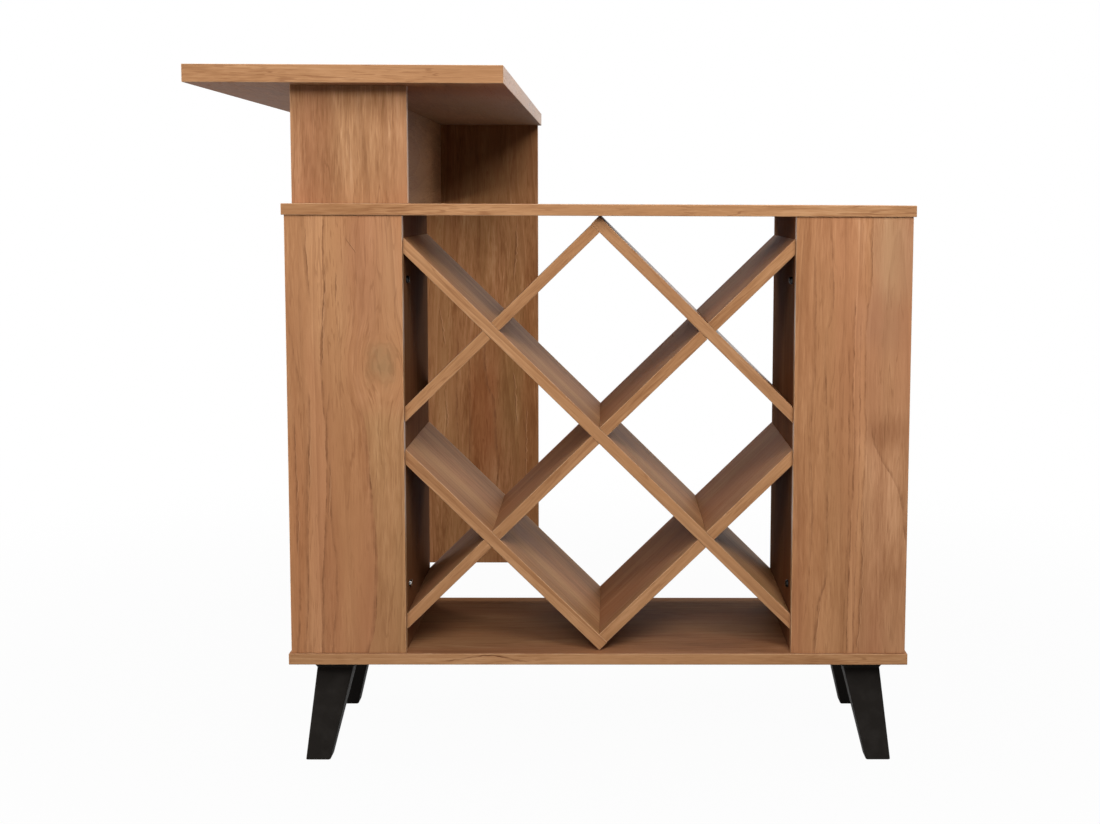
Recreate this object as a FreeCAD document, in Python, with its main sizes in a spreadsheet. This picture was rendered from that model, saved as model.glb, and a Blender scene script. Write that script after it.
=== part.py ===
import FreeCAD, Part
import math
import os
import re
import Sketcher

# Bar table: a wine-rack cabinet on splayed legs that carries one end of a high bar top.
# Flat-pack construction in 18 mm faced board. Millimetres, +Z up, floor at Z = 0.
# X runs along the cabinet front, Y from the cabinet front to the far end of the bar.

os.makedirs("parts", exist_ok=True)
doc = FreeCAD.newDocument("bar_table")

DIMENSIONS = {
    # boards
    "board": 18,
    "arris": 0.7,
    # cabinet
    "cabinet_width": 1000,
    "cabinet_depth": 400,
    "opening_height": 704,
    "reveal": 4,
    "front_width": 185,
    "side_depth": 358,
    "shelf_setback": 12,
    "shelf_play": 0.5,
    # bar
    "bar_width": 500,
    "bar_length": 1500,
    "bar_thick": 28,
    "bar_out": 150,
    "riser": 187,
    "column_width": 185,
    "column_setback": 55,
    "panel_inset": 8,
    "panel_clear": 22,
    # rack lattice
    "rack_run": 346,
    "rack_rise": 338.3,
    "rack_proud": 1.25,
    "butt_gap": 0.1,
    "slot_play": 0.6,
    # legs
    "leg_height": 165,
    "leg_inset": 70,
    "leg_top": 60,
    "leg_foot": 40,
    "leg_splay": 29,
    "flange": 71,
    "flange_thick": 6,
    # sides of the prisms that stand for round shanks and round heads
    "shank_sides": 8,
    "head_sides": 16,
    # fastenings
    "dowel_dia": 8,
    "dowel_long": 30,
    "dowel_shallow": 11,
    "edge_step": 32,
    "cam_dia": 15,
    "cam_deep": 13,
    "cam_mouth": 1,
    "cam_from_edge": 34,
    "cam_bolt_dia": 7,
    "cam_neck_dia": 4,
    "cam_neck_long": 6,
    "cam_slot": 3,
    "stud_grip": 11,
    "confirmat_dia": 6.4,
    "confirmat_head": 10,
    "confirmat_head_deep": 5,
    "confirmat_grip": 32,
    "hex_key": 2.3,
    "hex_deep": 3,
    "joint_end": 70,
    "bracket_leg": 50,
    "bracket_wide": 18,
    "bracket_steel": 2,
    "bolt_setback": 38,
    "bolt_rise": 103,
    "bolt_dia": 5,
    "bolt_head": 11,
    "bolt_head_high": 4,
    "bolt_end": 1,
    "bolt_cross": 1.6,
    "nut_radius": 4.6,
    "nut_high": 4,
    "woodscrew_dia": 4,
    "woodscrew_head": 8,
    "woodscrew_head_high": 2.4,
    "woodscrew_grip": 12,
    "rack_screw_long": 44,
    "rack_screw_step": 120,
    "rack_screw_sink": 2.8,
    "pin_dia": 5,
    "pin_in": 9,
    "pin_out": 8,
    "pin_setback": 50,
    "leg_bolt_dia": 8,
    "leg_bolt_up": 13,
    "leg_bolt_down": 32,
    "glide_dia": 17,
    "glide_stem": 7,
    "glide_stem_long": 20,
    "glide_end": 40,
}

sheet = doc.addObject("Spreadsheet::Sheet", "Dims")
for row, (alias, value) in enumerate(DIMENSIONS.items(), start=1):
    sheet.set(f"A{row}", alias)
    sheet.set(f"B{row}", str(value))
    sheet.setAlias(f"B{row}", alias)
doc.recompute()

# Places worked out from the driving dimensions, as expressions
CABINET_X = "(bar_out / 2)"
CABINET_LEFT = "((bar_out - cabinet_width) / 2)"
BAR_X = f"({CABINET_LEFT} - bar_out + bar_width / 2)"
FRONT = "(-bar_length / 2)"
DECK_Y = f"({FRONT} + cabinet_depth / 2)"
SIDES_Y = f"({FRONT} + reveal + board + side_depth / 2)"
FRONT_BOARD_BACK = f"({FRONT} + reveal + board)"
FLOOR_OF_RACK = "(leg_height + board)"
OPENING_Z = f"({FLOOR_OF_RACK} + opening_height / 2)"
COUNTER = f"({FLOOR_OF_RACK} + opening_height + board)"
BAR_UNDER = f"({COUNTER} + riser)"
RISER_Z = f"({COUNTER} + riser / 2)"
OPENING_WIDTH = "(cabinet_width - 2 * (reveal + front_width))"
PARTITION_X = f"({OPENING_WIDTH} / 2 + board / 2)"
OUTER_X = "(cabinet_width / 2 - reveal - board / 2)"
NICHE_X = f"(({PARTITION_X} + {OUTER_X}) / 2)"
NICHE_WIDTH = "(front_width - 2 * board)"
COLUMN_Y = f"({FRONT} + column_setback + board / 2)"
PANEL_Y = "(bar_length / 2 - panel_inset - board / 2)"
PANEL_HEIGHT = f"({BAR_UNDER} - panel_clear)"
SPINE_LENGTH = "(bar_length - column_setback - panel_inset - 2 * board)"
SPINE_Y = f"({COLUMN_Y} + board / 2 + {SPINE_LENGTH} / 2)"
RACK_ANGLE = "atan(rack_rise / rack_run)"
STRETCH = f"(1 / cos({RACK_ANGLE}))"
SKEW = "(board / 2 * rack_rise / rack_run)"
BUTT = f"(board / 2 / sin(2 * {RACK_ANGLE}))"
BUTT_SKEW = f"(board / 2 / tan(2 * {RACK_ANGLE}))"
CONFIRMAT_REACH = "(board - confirmat_head_deep + confirmat_grip)"

# Left and right of the cabinet, its two ends, and a fastening's direction from +Z
SIDES = (("left", -1), ("right", 1))
ENDS = (-1, 1)
UPWARDS = ((0, 0, 1), "0")
ALONG_X = ((0, 1, 0), "90")
AGAINST_X = ((0, 1, 0), "-90")
ALONG_Y = ((1, 0, 0), "-90")
AGAINST_Y = ((1, 0, 0), "90")

pieces = {}
bores = {}


def ref(text):
    """An expression in which each driving dimension's name becomes a reference to its cell."""
    def cell(match):
        word = match.group()
        return f"Dims.{word}" if word in DIMENSIONS else word
    return re.sub(r"[a-z_]+", cell, str(text))


def bind(thing, **properties):
    for name, text in properties.items():
        thing.setExpression(name.replace("__", "."), ref(text))


def place(thing, centre, turn=UPWARDS):
    """Bind a piece's position, and its turn about a fixed axis."""
    axis, angle = turn
    rotation = FreeCAD.Rotation(FreeCAD.Vector(*axis), 1)
    thing.Placement = FreeCAD.Placement(FreeCAD.Vector(), rotation)
    x, y, z = centre
    bind(thing, Placement__Base__x=x, Placement__Base__y=y, Placement__Base__z=z)
    bind(thing, Placement__Rotation__Angle=angle)
    return thing


# Sketches and features
def new_body(label):
    body = doc.addObject("PartDesign::Body", label)
    pieces[label] = body
    return body


def new_sketch(body, name, plane):
    sketch = body.newObject("Sketcher::SketchObject", f"{body.Name}_{name}")
    origin = [item for item in body.Origin.OriginFeatures if item.Role == f"{plane}_Plane"][0]
    sketch.AttachmentSupport = [(origin, "")]
    sketch.MapMode = "FlatFace"
    return sketch


def polygon(sketch, corners):
    """A closed outline whose corners are pairs of expressions, drawn first as a ring round the origin."""
    count = len(corners)
    first = sketch.GeometryCount
    turns = [2 * math.pi * i / count for i in range(count)]
    ring = [FreeCAD.Vector(math.cos(turn), math.sin(turn), 0) for turn in turns]
    for i in range(count):
        sketch.addGeometry(Part.LineSegment(ring[i], ring[(i + 1) % count]))
    for i in range(count):
        following = first + (i + 1) % count
        sketch.addConstraint(Sketcher.Constraint("Coincident", first + i, 2, following, 1))
    for i, corner in enumerate(corners):
        for kind, text in zip(("DistanceX", "DistanceY"), corner):
            index = sketch.addConstraint(Sketcher.Constraint(kind, -1, 1, first + i, 1, 1.0))
            sketch.setExpression(f"Constraints[{index}]", ref(text))


def rectangle(sketch, wide, high, middle=("0", "0")):
    corners = [(f"{middle[0]} + {a} * ({wide}) / 2", f"{middle[1]} + {b} * ({high}) / 2")
               for a, b in ((-1, -1), (1, -1), (1, 1), (-1, 1))]
    polygon(sketch, corners)


def extrude(body, kind, sketch, length):
    """A pad or pocket that goes equally far to both sides of its sketch."""
    feature = body.newObject(f"PartDesign::{kind}", f"{sketch.Name}_{kind.lower()}")
    feature.Profile = sketch
    feature.Midplane = True
    bind(feature, Length=length)
    sketch.Visibility = False
    return feature


def ease_edges(body, feature):
    """Take the sharp arris off every edge of a sawn and banded board."""
    doc.recompute()
    chamfer = body.newObject("PartDesign::Chamfer", f"{body.Name}_arris")
    chamfer.Base = (feature, [f"Edge{i + 1}" for i in range(len(feature.Shape.Edges))])
    bind(chamfer, Size="arris")


def board(label, plane, size, centre):
    """A rectangular board: its face on a plane, its thickness across it."""
    body = new_body(label)
    sketch = new_sketch(body, "face", plane)
    wide, high, thick = size
    rectangle(sketch, wide, high)
    ease_edges(body, extrude(body, "Pad", sketch, thick))
    return place(body, centre)


# Fastenings along +Z, whose blanks also bore the pieces that they pass through
def prism(sides, diameter, length, start="0"):
    rod = doc.addObject("Part::Prism", "rod")
    bind(rod, Polygon=sides, Circumradius=f"({diameter}) / 2", Height=length)
    bind(rod, Placement__Base__z=start)
    return rod


def join(kind, base, tool):
    made = doc.addObject(f"Part::{kind}", kind.lower())
    made.Base = base
    made.Tool = tool
    return made


def headed_rod(head, head_high, shank, length):
    """A shank from Z = 0 upwards, with its head below."""
    top = prism("head_sides", head, head_high, f"-({head_high})")
    return join("Fuse", prism("shank_sides", shank, length), top)


def group(label, members):
    """Separate solids of one kind, kept as one named piece."""
    pieces[label] = doc.addObject("Part::Compound", label)
    pieces[label].Links = members


def seat(fastening, *labels):
    """Note the pieces that a fastening passes through."""
    for label in labels:
        bores.setdefault(label, []).append(fastening)
    return fastening


def bore_pieces():
    """Bore each piece for the fastenings that pass through it."""
    for label, fastenings in bores.items():
        drills = fastenings[0]
        if len(fastenings) > 1:
            drills = doc.addObject("Part::MultiFuse", f"{label}_drills")
            drills.Shapes = fastenings
        pieces[label].Label = f"{label}_blank"
        bored = join("Cut", pieces[label], drills)
        bored.Label = label
        pieces[label] = bored


# Cabinet
def cabinet():
    deck = ("cabinet_width", "cabinet_depth", "board")
    board("cabinet_bottom", "XY", deck, (CABINET_X, DECK_Y, "leg_height + board / 2"))
    board("cabinet_top", "XY", deck, (CABINET_X, DECK_Y, f"{COUNTER} - board / 2"))
    front = ("front_width", "opening_height", "board")
    upright = ("side_depth", "opening_height", "board")
    shelf = (f"{NICHE_WIDTH} - 2 * shelf_play", "side_depth - shelf_setback", "board")
    for name, side in SIDES:
        niche_x = f"{CABINET_X} + {side} * {NICHE_X}"
        board(f"{name}_front_board", "XZ", front, (niche_x, f"{FRONT_BOARD_BACK} - board / 2", OPENING_Z))
        for kind, x in (("partition", PARTITION_X), ("outer_side", OUTER_X)):
            board(f"{name}_{kind}", "YZ", upright, (f"{CABINET_X} + {side} * {x}", SIDES_Y, OPENING_Z))
        board(f"{name}_niche_shelf", "XY", shelf, (niche_x, f"{SIDES_Y} - shelf_setback / 2", OPENING_Z))


# Rack lattice
def rack_board(label, lower, upper, slots, slot_end, angle, middle):
    """A lattice board along X, turned about Y. Its slots run in from the front or rear edge to mid depth."""
    body = new_body(label)
    edge = new_sketch(body, "edge", "XZ")
    polygon(edge, [(lower[0], "-board / 2"), (lower[1], "-board / 2"),
                   (upper[1], "board / 2"), (upper[0], "board / 2")])
    ease_edges(body, extrude(body, "Pad", edge, "side_depth"))
    slot = new_sketch(body, "slot", "XY")
    first = f"-({slots - 1}) * rack_run / 4 * {STRETCH}"
    slot_middle = (first, f"{slot_end} * (side_depth + slot_play) / 4")
    rectangle(slot, "board + slot_play", "side_depth / 2 + slot_play", slot_middle)
    pocket = extrude(body, "Pocket", slot, "2 * board")
    if slots > 1:
        doc.recompute()
        pattern = body.newObject("PartDesign::LinearPattern", f"{label}_slots")
        pattern.Originals = [pocket]
        pattern.Direction = (slot, ["H_Axis"])
        pattern.Occurrences = slots
        bind(pattern, Length=f"({slots - 1}) * rack_run / 2 * {STRETCH}")
        body.Tip = pattern
    across, up = middle
    centre = (f"{CABINET_X} + ({across}) * rack_run / 2", SIDES_Y, f"{OPENING_Z} + ({up}) * rack_rise / 2")
    place(body, centre, ((0, 1, 0), angle))


def rack():
    """Two long diagonals that cross in the middle, and the diamond round them."""
    rear = 1
    front = -1
    falling = RACK_ANGLE
    rising = f"-{RACK_ANGLE}"
    far = f"{OPENING_WIDTH} / 2 * {STRETCH}"
    ahead = (f"-{far} + {SKEW}", f"{far} + {SKEW}")
    behind = (f"-{far} - {SKEW}", f"{far} - {SKEW}")
    rack_board("rack_long_falling", ahead, behind, 3, rear, falling, (0, 0))
    rack_board("rack_long_rising", behind, ahead, 3, front, rising, (0, 0))

    # At the top and bottom one board of each pair runs past the apex and the other butts on it
    to_wall = f"({OPENING_WIDTH} - rack_run) / 2 * {STRETCH}"
    to_apex = f"rack_run / 2 * {STRETCH}"
    square = f"-({to_apex} + {BUTT} + rack_proud)"
    meets = f"{to_apex} - {BUTT} - butt_gap"
    runner = ((square, f"{to_wall} + {SKEW}"), (square, f"{to_wall} - {SKEW}"))
    butted = ((f"-({to_wall} + {SKEW})", f"{meets} + {BUTT_SKEW}"),
              (f"-({to_wall} - {SKEW})", f"{meets} - {BUTT_SKEW}"))
    rack_board("rack_upper_right", *runner, 1, rear, falling, (1, 1))
    rack_board("rack_upper_left", *butted, 1, front, rising, (-1, 1))
    rack_board("rack_lower_left", *runner, 1, rear, f"180 deg + {falling}", (-1, -1))
    rack_board("rack_lower_right", *butted, 1, front, f"180 deg + {rising}", (1, -1))


# Bar
def bar():
    top = ("bar_width", "bar_length", "bar_thick")
    board("bar_top", "XY", top, (BAR_X, "0", f"{BAR_UNDER} + bar_thick / 2"))
    board("column_board", "XZ", ("column_width", "riser", "board"), (BAR_X, COLUMN_Y, RISER_Z))
    board("spine_board", "YZ", (SPINE_LENGTH, "riser", "board"), (BAR_X, SPINE_Y, RISER_Z))
    panel = ("bar_width - 2 * panel_inset", PANEL_HEIGHT, "board")
    board("end_panel", "XZ", panel, (BAR_X, PANEL_Y, f"{BAR_UNDER} - {PANEL_HEIGHT} / 2"))


# Legs
def leg_outline(sign):
    """A leg seen square on: a flared flange over a tapered shank that leans out."""
    shank_high = "leg_height - flange_thick"
    corners = (
        ("leg_splay + leg_foot / 2", "0"),
        ("leg_top / 2", shank_high),
        ("flange / 2", "leg_height"),
        ("-flange / 2", "leg_height"),
        ("-leg_top / 2", shank_high),
        ("leg_splay - leg_foot / 2", "0"),
    )
    return [(f"{sign} * ({x})", z) for x, z in corners]


def leg(label, side, end):
    """One leg: its outline from the front, trimmed to the same outline from the side."""
    body = new_body(label)
    from_front = new_sketch(body, "from_front", "XZ")
    polygon(from_front, leg_outline(side))
    extrude(body, "Pad", from_front, "2 * flange")
    from_side = new_sketch(body, "from_side", "YZ")
    polygon(from_side, leg_outline(end))
    rectangle(from_side, "4 * flange", "2 * leg_height", ("0", "leg_height / 2"))
    extrude(body, "Pocket", from_side, "4 * flange")
    x, y = leg_place(side, end)
    place(body, (x, y, "0"))


def leg_place(side, end):
    return (f"{CABINET_X} + {side} * (cabinet_width / 2 - leg_inset)",
            f"{DECK_Y} + {end} * (cabinet_depth / 2 - leg_inset)")


def legs():
    bolts = []
    for end_name, end in (("front", -1), ("rear", 1)):
        for side_name, side in SIDES:
            label = f"{end_name}_{side_name}_leg"
            leg(label, side, end)
            bolt = prism("shank_sides", "leg_bolt_dia", "leg_bolt_down + leg_bolt_up")
            place(bolt, (*leg_place(side, end), "leg_height - leg_bolt_down"))
            bolts.append(seat(bolt, label, "cabinet_bottom"))
    group("leg_bolts", bolts)


# Fastenings
def dowel(centre, turn, *labels):
    return seat(place(prism("shank_sides", "dowel_dia", "dowel_long"), centre, turn), *labels)


def confirmat(centre, turn, *labels):
    """A stepped furniture screw with a hexagon socket in its head."""
    blank = headed_rod("confirmat_head", "confirmat_head_deep", "confirmat_dia", CONFIRMAT_REACH)
    seat(place(blank, centre, turn), *labels)
    socket = doc.addObject("Part::Prism", "socket")
    socket.Polygon = 6
    bind(socket, Circumradius="hex_key", Height="hex_deep", Placement__Base__z="-confirmat_head_deep")
    socketed = headed_rod("confirmat_head", "confirmat_head_deep", "confirmat_dia", CONFIRMAT_REACH)
    return place(join("Cut", socketed, socket), centre, turn)


def cam(centre, inward, board_label, top_label):
    """A slotted cam disc let into a board's face, and the bolt that it grips. Inward is the face's side."""
    x, y, z = centre
    face = (f"{x} + {inward} * board / 2", y, z)
    turn = AGAINST_X if inward > 0 else ALONG_X
    seat(place(prism("head_sides", "cam_dia", "cam_deep"), face, turn), board_label)
    neck = prism("shank_sides", "cam_neck_dia", "cam_neck_long", "-cam_neck_long")
    shank = prism("shank_sides", "cam_bolt_dia", "cam_from_edge - cam_dia / 2 + cam_mouth + stud_grip")
    bolt = place(join("Fuse", shank, neck), (x, y, f"{z} + cam_dia / 2 - cam_mouth"))
    seat(bolt, board_label, top_label)

    slot = doc.addObject("Part::Box", "slot")
    bind(slot, Length="cam_dia * 0.6", Width="cam_slot", Height="cam_slot")
    bind(slot, Placement__Base__x="-cam_dia * 0.3", Placement__Base__y="-cam_slot / 2")
    slotted = join("Cut", prism("head_sides", "cam_dia", "cam_deep"), slot)
    disc = join("Cut", place(slotted, face, turn), bolt)
    return disc, bolt


def upright_joints():
    """Each screw or cam place on the uprights: the upright's label, X, Y, and its compartment's side."""
    found = []
    for name, side in SIDES:
        for kind, x, niche in (("partition", PARTITION_X, side), ("outer_side", OUTER_X, -side)):
            for end in ENDS:
                y = f"{SIDES_Y} + {end} * (side_depth / 2 - joint_end)"
                found.append((f"{name}_{kind}", f"{CABINET_X} + {side} * {x}", y, niche))
    return found


def upright_fastenings():
    screws = []
    for label, x, y, _ in upright_joints():
        centre = (x, y, "leg_height + confirmat_head_deep")
        screws.append(confirmat(centre, UPWARDS, "cabinet_bottom", label))
    group("bottom_confirmats", screws)

    pins = []
    for label, x, _, niche in upright_joints()[::2]:
        for end in ENDS:
            y = f"{SIDES_Y} + {end} * (side_depth / 2 - pin_setback)"
            z = f"{OPENING_Z} - (board + pin_dia) / 2"
            pin = prism("head_sides", "pin_dia", "pin_in + pin_out")
            place(pin, (f"{x} + {niche} * (board / 2 - pin_in)", y, z), ALONG_X if niche > 0 else AGAINST_X)
            pins.append(seat(pin, label))
    group("shelf_pins", pins)


def front_fastenings():
    """Dowels and angle brackets that hold the front boards to the uprights behind them."""
    dowels = []
    for name, side in SIDES:
        for kind, x in (("partition", PARTITION_X), ("outer_side", OUTER_X)):
            for end in ENDS:
                centre = (f"{CABINET_X} + {side} * {x}", f"{FRONT_BOARD_BACK} - dowel_shallow",
                          f"{OPENING_Z} + {end} * (opening_height / 2 - joint_end)")
                dowels.append(dowel(centre, ALONG_Y, f"{name}_front_board", f"{name}_{kind}"))
    group("front_dowels", dowels)

    sets = [bracket_set(name, side, f"{OPENING_Z} + {end} * (opening_height / 2 - bolt_rise)")
            for name, side in SIDES for end in ENDS]
    labels = ("corner_brackets", "bracket_bolts", "bracket_nuts", "bracket_screws")
    for label, members in zip(labels, zip(*sets)):
        group(label, list(members))


def bracket_set(name, side, z):
    """An angle bracket in the corner of a partition and its front board, with its bolt, nut and screw."""
    corner_x = f"{CABINET_X} + {side} * ({PARTITION_X} + board / 2)"
    bolt_y = f"{FRONT_BOARD_BACK} + bolt_setback"
    outwards = ALONG_X if side > 0 else AGAINST_X

    bolt_long = "board + bracket_steel + nut_high + bolt_end"
    bolt = headed_rod("bolt_head", "bolt_head_high", "bolt_dia", bolt_long)
    for wide, deep in (("bolt_head * 0.7", "bolt_cross"), ("bolt_cross", "bolt_head * 0.7")):
        slot = doc.addObject("Part::Box", "slot")
        bind(slot, Length=wide, Width=deep, Height="bolt_head_high / 2")
        place(slot, (f"-({wide}) / 2", f"-({deep}) / 2", "-bolt_head_high"))
        bolt = join("Cut", bolt, slot)
    place(bolt, (f"{corner_x} - {side} * board", bolt_y, z), outwards)
    seat(bolt, f"{name}_partition")

    screw_long = "bracket_steel + woodscrew_grip"
    screw = headed_rod("woodscrew_head", "woodscrew_head_high", "woodscrew_dia", screw_long)
    place(screw, (f"{corner_x} + {side} * bolt_setback", f"{FRONT_BOARD_BACK} + bracket_steel", z), AGAINST_Y)
    seat(screw, f"{name}_front_board")

    plates = []
    for wide, deep in (("bracket_steel", "bracket_leg"), ("bracket_leg", "bracket_steel")):
        plate = doc.addObject("Part::Box", "plate")
        bind(plate, Length=wide, Width=deep, Height="bracket_wide")
        left = f"{corner_x} + ({side} - 1) / 2 * ({wide})"
        plates.append(place(plate, (left, FRONT_BOARD_BACK, f"{z} - bracket_wide / 2")))
    bracket = join("Cut", join("Cut", join("Fuse", *plates), bolt), screw)

    hexagon = doc.addObject("Part::Prism", "hexagon")
    hexagon.Polygon = 6
    bind(hexagon, Circumradius="nut_radius", Height="nut_high")
    nut = join("Cut", place(hexagon, (f"{corner_x} + {side} * bracket_steel", bolt_y, z), outwards), bolt)
    return bracket, bolt, nut, screw


def spine_cam_rows():
    """Where the cams pull the bar top onto the spine."""
    return [f"({SPINE_Y} + {step} / 3 * ({SPINE_LENGTH} / 2 - joint_end))" for step in (-3, -1, 1, 3)]


def cams():
    under_top = f"{COUNTER} - board - cam_from_edge"
    under_bar = f"{BAR_UNDER} - cam_from_edge"
    sets = [cam((x, y, under_top), niche, label, "cabinet_top") for label, x, y, niche in upright_joints()]
    sets += [cam((BAR_X, y, under_bar), -1, "spine_board", "bar_top") for y in spine_cam_rows()]
    for label, members in zip(("cam_discs", "cam_bolts"), zip(*sets)):
        group(label, list(members))


def rack_fastenings():
    """Two screws through each running board into the end of the board that butts on it."""
    screws = []
    inset = f"({BUTT} - rack_screw_sink + butt_gap)"
    for half, labels in ((1, ("rack_upper_right", "rack_upper_left")),
                         (-1, ("rack_lower_left", "rack_lower_right"))):
        turn = ((0, 1, 0), f"{180 + 90 * half} deg - {RACK_ANGLE}")
        x = f"{CABINET_X} + {half} * {inset} * cos({RACK_ANGLE})"
        z = f"{OPENING_Z} + {half} * (rack_rise + {inset} * sin({RACK_ANGLE}))"
        for end in ENDS:
            screw_long = "rack_screw_long - rack_screw_sink"
            screw = headed_rod("woodscrew_head", "woodscrew_head_high", "woodscrew_dia", screw_long)
            place(screw, (x, f"{SIDES_Y} + {end} * rack_screw_step", z), turn)
            screws.append(seat(screw, *labels))
    group("rack_screws", screws)


def bar_fastenings():
    head_z = f"{BAR_UNDER} + dowel_shallow - dowel_long"
    rows = [f"{RISER_Z} + {end} * (riser / 2 - edge_step - board)" for end in ENDS]
    dowels = []
    for end in ENDS:
        x = f"{BAR_X} + {end} * (column_width / 2 - edge_step)"
        foot_z = f"{COUNTER} - dowel_shallow"
        dowels.append(dowel((x, COLUMN_Y, foot_z), UPWARDS, "cabinet_top", "column_board"))
        dowels.append(dowel((x, COLUMN_Y, head_z), UPWARDS, "column_board", "bar_top"))
        x = f"{BAR_X} + {end} * (bar_width / 2 - joint_end)"
        dowels.append(dowel((x, PANEL_Y, head_z), UPWARDS, "end_panel", "bar_top"))
    for z in rows:
        centre = (BAR_X, f"{COLUMN_Y} + board / 2 - dowel_shallow", z)
        dowels.append(dowel(centre, ALONG_Y, "column_board", "spine_board"))
    group("bar_dowels", dowels)

    screws = []
    for end in ENDS:
        centre = (BAR_X, f"{DECK_Y} + {end} * cabinet_depth / 4", f"{COUNTER} - board + confirmat_head_deep")
        screws.append(confirmat(centre, UPWARDS, "cabinet_top", "spine_board"))
    for z in rows:
        centre = (BAR_X, f"{PANEL_Y} + board / 2 - confirmat_head_deep", z)
        screws.append(confirmat(centre, AGAINST_Y, "end_panel", "spine_board"))
    group("spine_confirmats", screws)

    glides = []
    for end in ENDS:
        glide = headed_rod("glide_dia", "panel_clear", "glide_stem", "glide_stem_long")
        x = f"{BAR_X} + {end} * (bar_width / 2 - panel_inset - glide_end)"
        glides.append(seat(place(glide, (x, PANEL_Y, "panel_clear")), "end_panel"))
    group("end_panel_glides", glides)


cabinet()
rack()
bar()
legs()
upright_fastenings()
front_fastenings()
cams()
rack_fastenings()
bar_fastenings()
bore_pieces()
doc.recompute()

for item in doc.Objects:
    if "Invalid" in item.State or "Error" in item.State:
        raise RuntimeError(f"{item.Label} did not compute: {item.State}")
for label, piece in pieces.items():
    if piece.Shape.isNull() or not piece.Shape.isValid():
        raise RuntimeError(f"{label} has no valid shape")
for label, piece in pieces.items():
    piece.Shape.exportStep(f"parts/{label}.step")
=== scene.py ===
"""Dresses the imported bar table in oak-grain laminate, black plastic and plated steel, and sets a studio."""
import math

import bmesh
import bpy
from bmesh.types import BMEdge, BMFace, BMVert
from mathutils import Matrix, Vector


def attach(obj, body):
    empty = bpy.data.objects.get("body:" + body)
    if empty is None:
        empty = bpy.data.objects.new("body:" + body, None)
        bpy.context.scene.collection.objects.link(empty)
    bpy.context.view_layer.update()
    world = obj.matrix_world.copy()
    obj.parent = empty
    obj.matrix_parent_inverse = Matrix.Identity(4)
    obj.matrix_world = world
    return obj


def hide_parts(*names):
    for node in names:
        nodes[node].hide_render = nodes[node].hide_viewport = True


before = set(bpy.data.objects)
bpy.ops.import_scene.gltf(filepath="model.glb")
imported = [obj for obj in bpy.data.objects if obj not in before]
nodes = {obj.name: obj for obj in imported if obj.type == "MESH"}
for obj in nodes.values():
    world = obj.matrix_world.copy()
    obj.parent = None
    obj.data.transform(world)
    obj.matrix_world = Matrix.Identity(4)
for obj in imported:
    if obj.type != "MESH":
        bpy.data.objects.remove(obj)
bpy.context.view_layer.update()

X, Y, Z = Vector((1, 0, 0)), Vector((0, 1, 0)), Vector((0, 0, 1))


class Wiring:
    """Short forms for adding and joining shader nodes in one node tree."""

    def __init__(self, tree):
        self.tree = tree

    def add(self, kind, wires=None, **settings):
        node = self.tree.nodes.new("ShaderNode" + kind)
        for name, value in settings.items():
            setattr(node, name, value)
        self.wire(node, wires or {})
        return node

    def wire(self, node, wires):
        """Links a socket or sets a plain value on each named input."""
        for name, value in wires.items():
            if isinstance(value, bpy.types.NodeSocket):
                self.tree.links.new(value, node.inputs[name])
            else:
                node.inputs[name].default_value = value

    def math(self, operation, *values):
        return self.add("Math", dict(enumerate(values)), operation=operation).outputs[0]

    def vector(self, operation, *values):
        return self.add("VectorMath", dict(enumerate(values)), operation=operation).outputs[0]

    def length(self, vector):
        return self.add("VectorMath", {0: vector}, operation="LENGTH").outputs["Value"]

    def split(self, point):
        return self.add("SeparateXYZ", {0: point}).outputs

    def join(self, x, y, z):
        return self.add("CombineXYZ", {0: x, 1: y, 2: z}).outputs[0]

    def flip(self, vector):
        """A vector with its X and Z in each other's place."""
        x, y, z = self.split(vector)
        return self.join(z, y, x)

    def noise(self, point, stretch, detail=2.0, roughness=0.5):
        stretched = self.vector("MULTIPLY", point, stretch)
        wires = {"Vector": stretched, "Scale": 1.0, "Detail": detail, "Roughness": roughness}
        return self.add("TexNoise", wires).outputs[0]

    def weighed(self, noise, weight, onto=0.0):
        """Adds a noise, centred on zero and weighed, to a value."""
        return self.math("MULTIPLY_ADD", self.math("SUBTRACT", noise, 0.5), weight, onto)

    def swing(self, point, stretch, reach, detail=2.0):
        """A noise centred on zero that swings by about reach either way."""
        return self.weighed(self.noise(point, stretch, detail), 2 * reach)

    def step(self, value, low, high, start=0.0, end=1.0):
        wires = {"Value": value, "From Min": low, "From Max": high, "To Min": start, "To Max": end}
        return self.add("MapRange", wires, interpolation_type="SMOOTHSTEP").outputs[0]

    def mix(self, share, under, over, blend="MIX"):
        wires = {0: share, 6: under, 7: over}
        return self.add("Mix", wires, data_type="RGBA", blend_type=blend).outputs[2]

    def choose(self, share, under, over):
        return self.add("Mix", {0: share, 2: under, 3: over}, data_type="FLOAT").outputs[0]

    def tones(self, value, stops):
        node = self.add("ValToRGB", {0: value})
        elements = node.color_ramp.elements
        while len(elements) < len(stops):
            elements.new(1.0)
        for element, (place, colour) in zip(elements, stops):
            element.position = place
            element.color = (*colour, 1)
        return node.outputs[0]


def new_group(name, inputs, outputs):
    """A shader node group with named sockets: (wiring, its inputs, its output node)."""
    tree = bpy.data.node_groups.new(name, "ShaderNodeTree")
    for socket, kind, value in inputs:
        made = tree.interface.new_socket(socket, in_out="INPUT", socket_type="NodeSocket" + kind)
        made.default_value = value
    for socket, kind in outputs:
        tree.interface.new_socket(socket, in_out="OUTPUT", socket_type="NodeSocket" + kind)
    return Wiring(tree), tree.nodes.new("NodeGroupInput").outputs, tree.nodes.new("NodeGroupOutput").inputs


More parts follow.
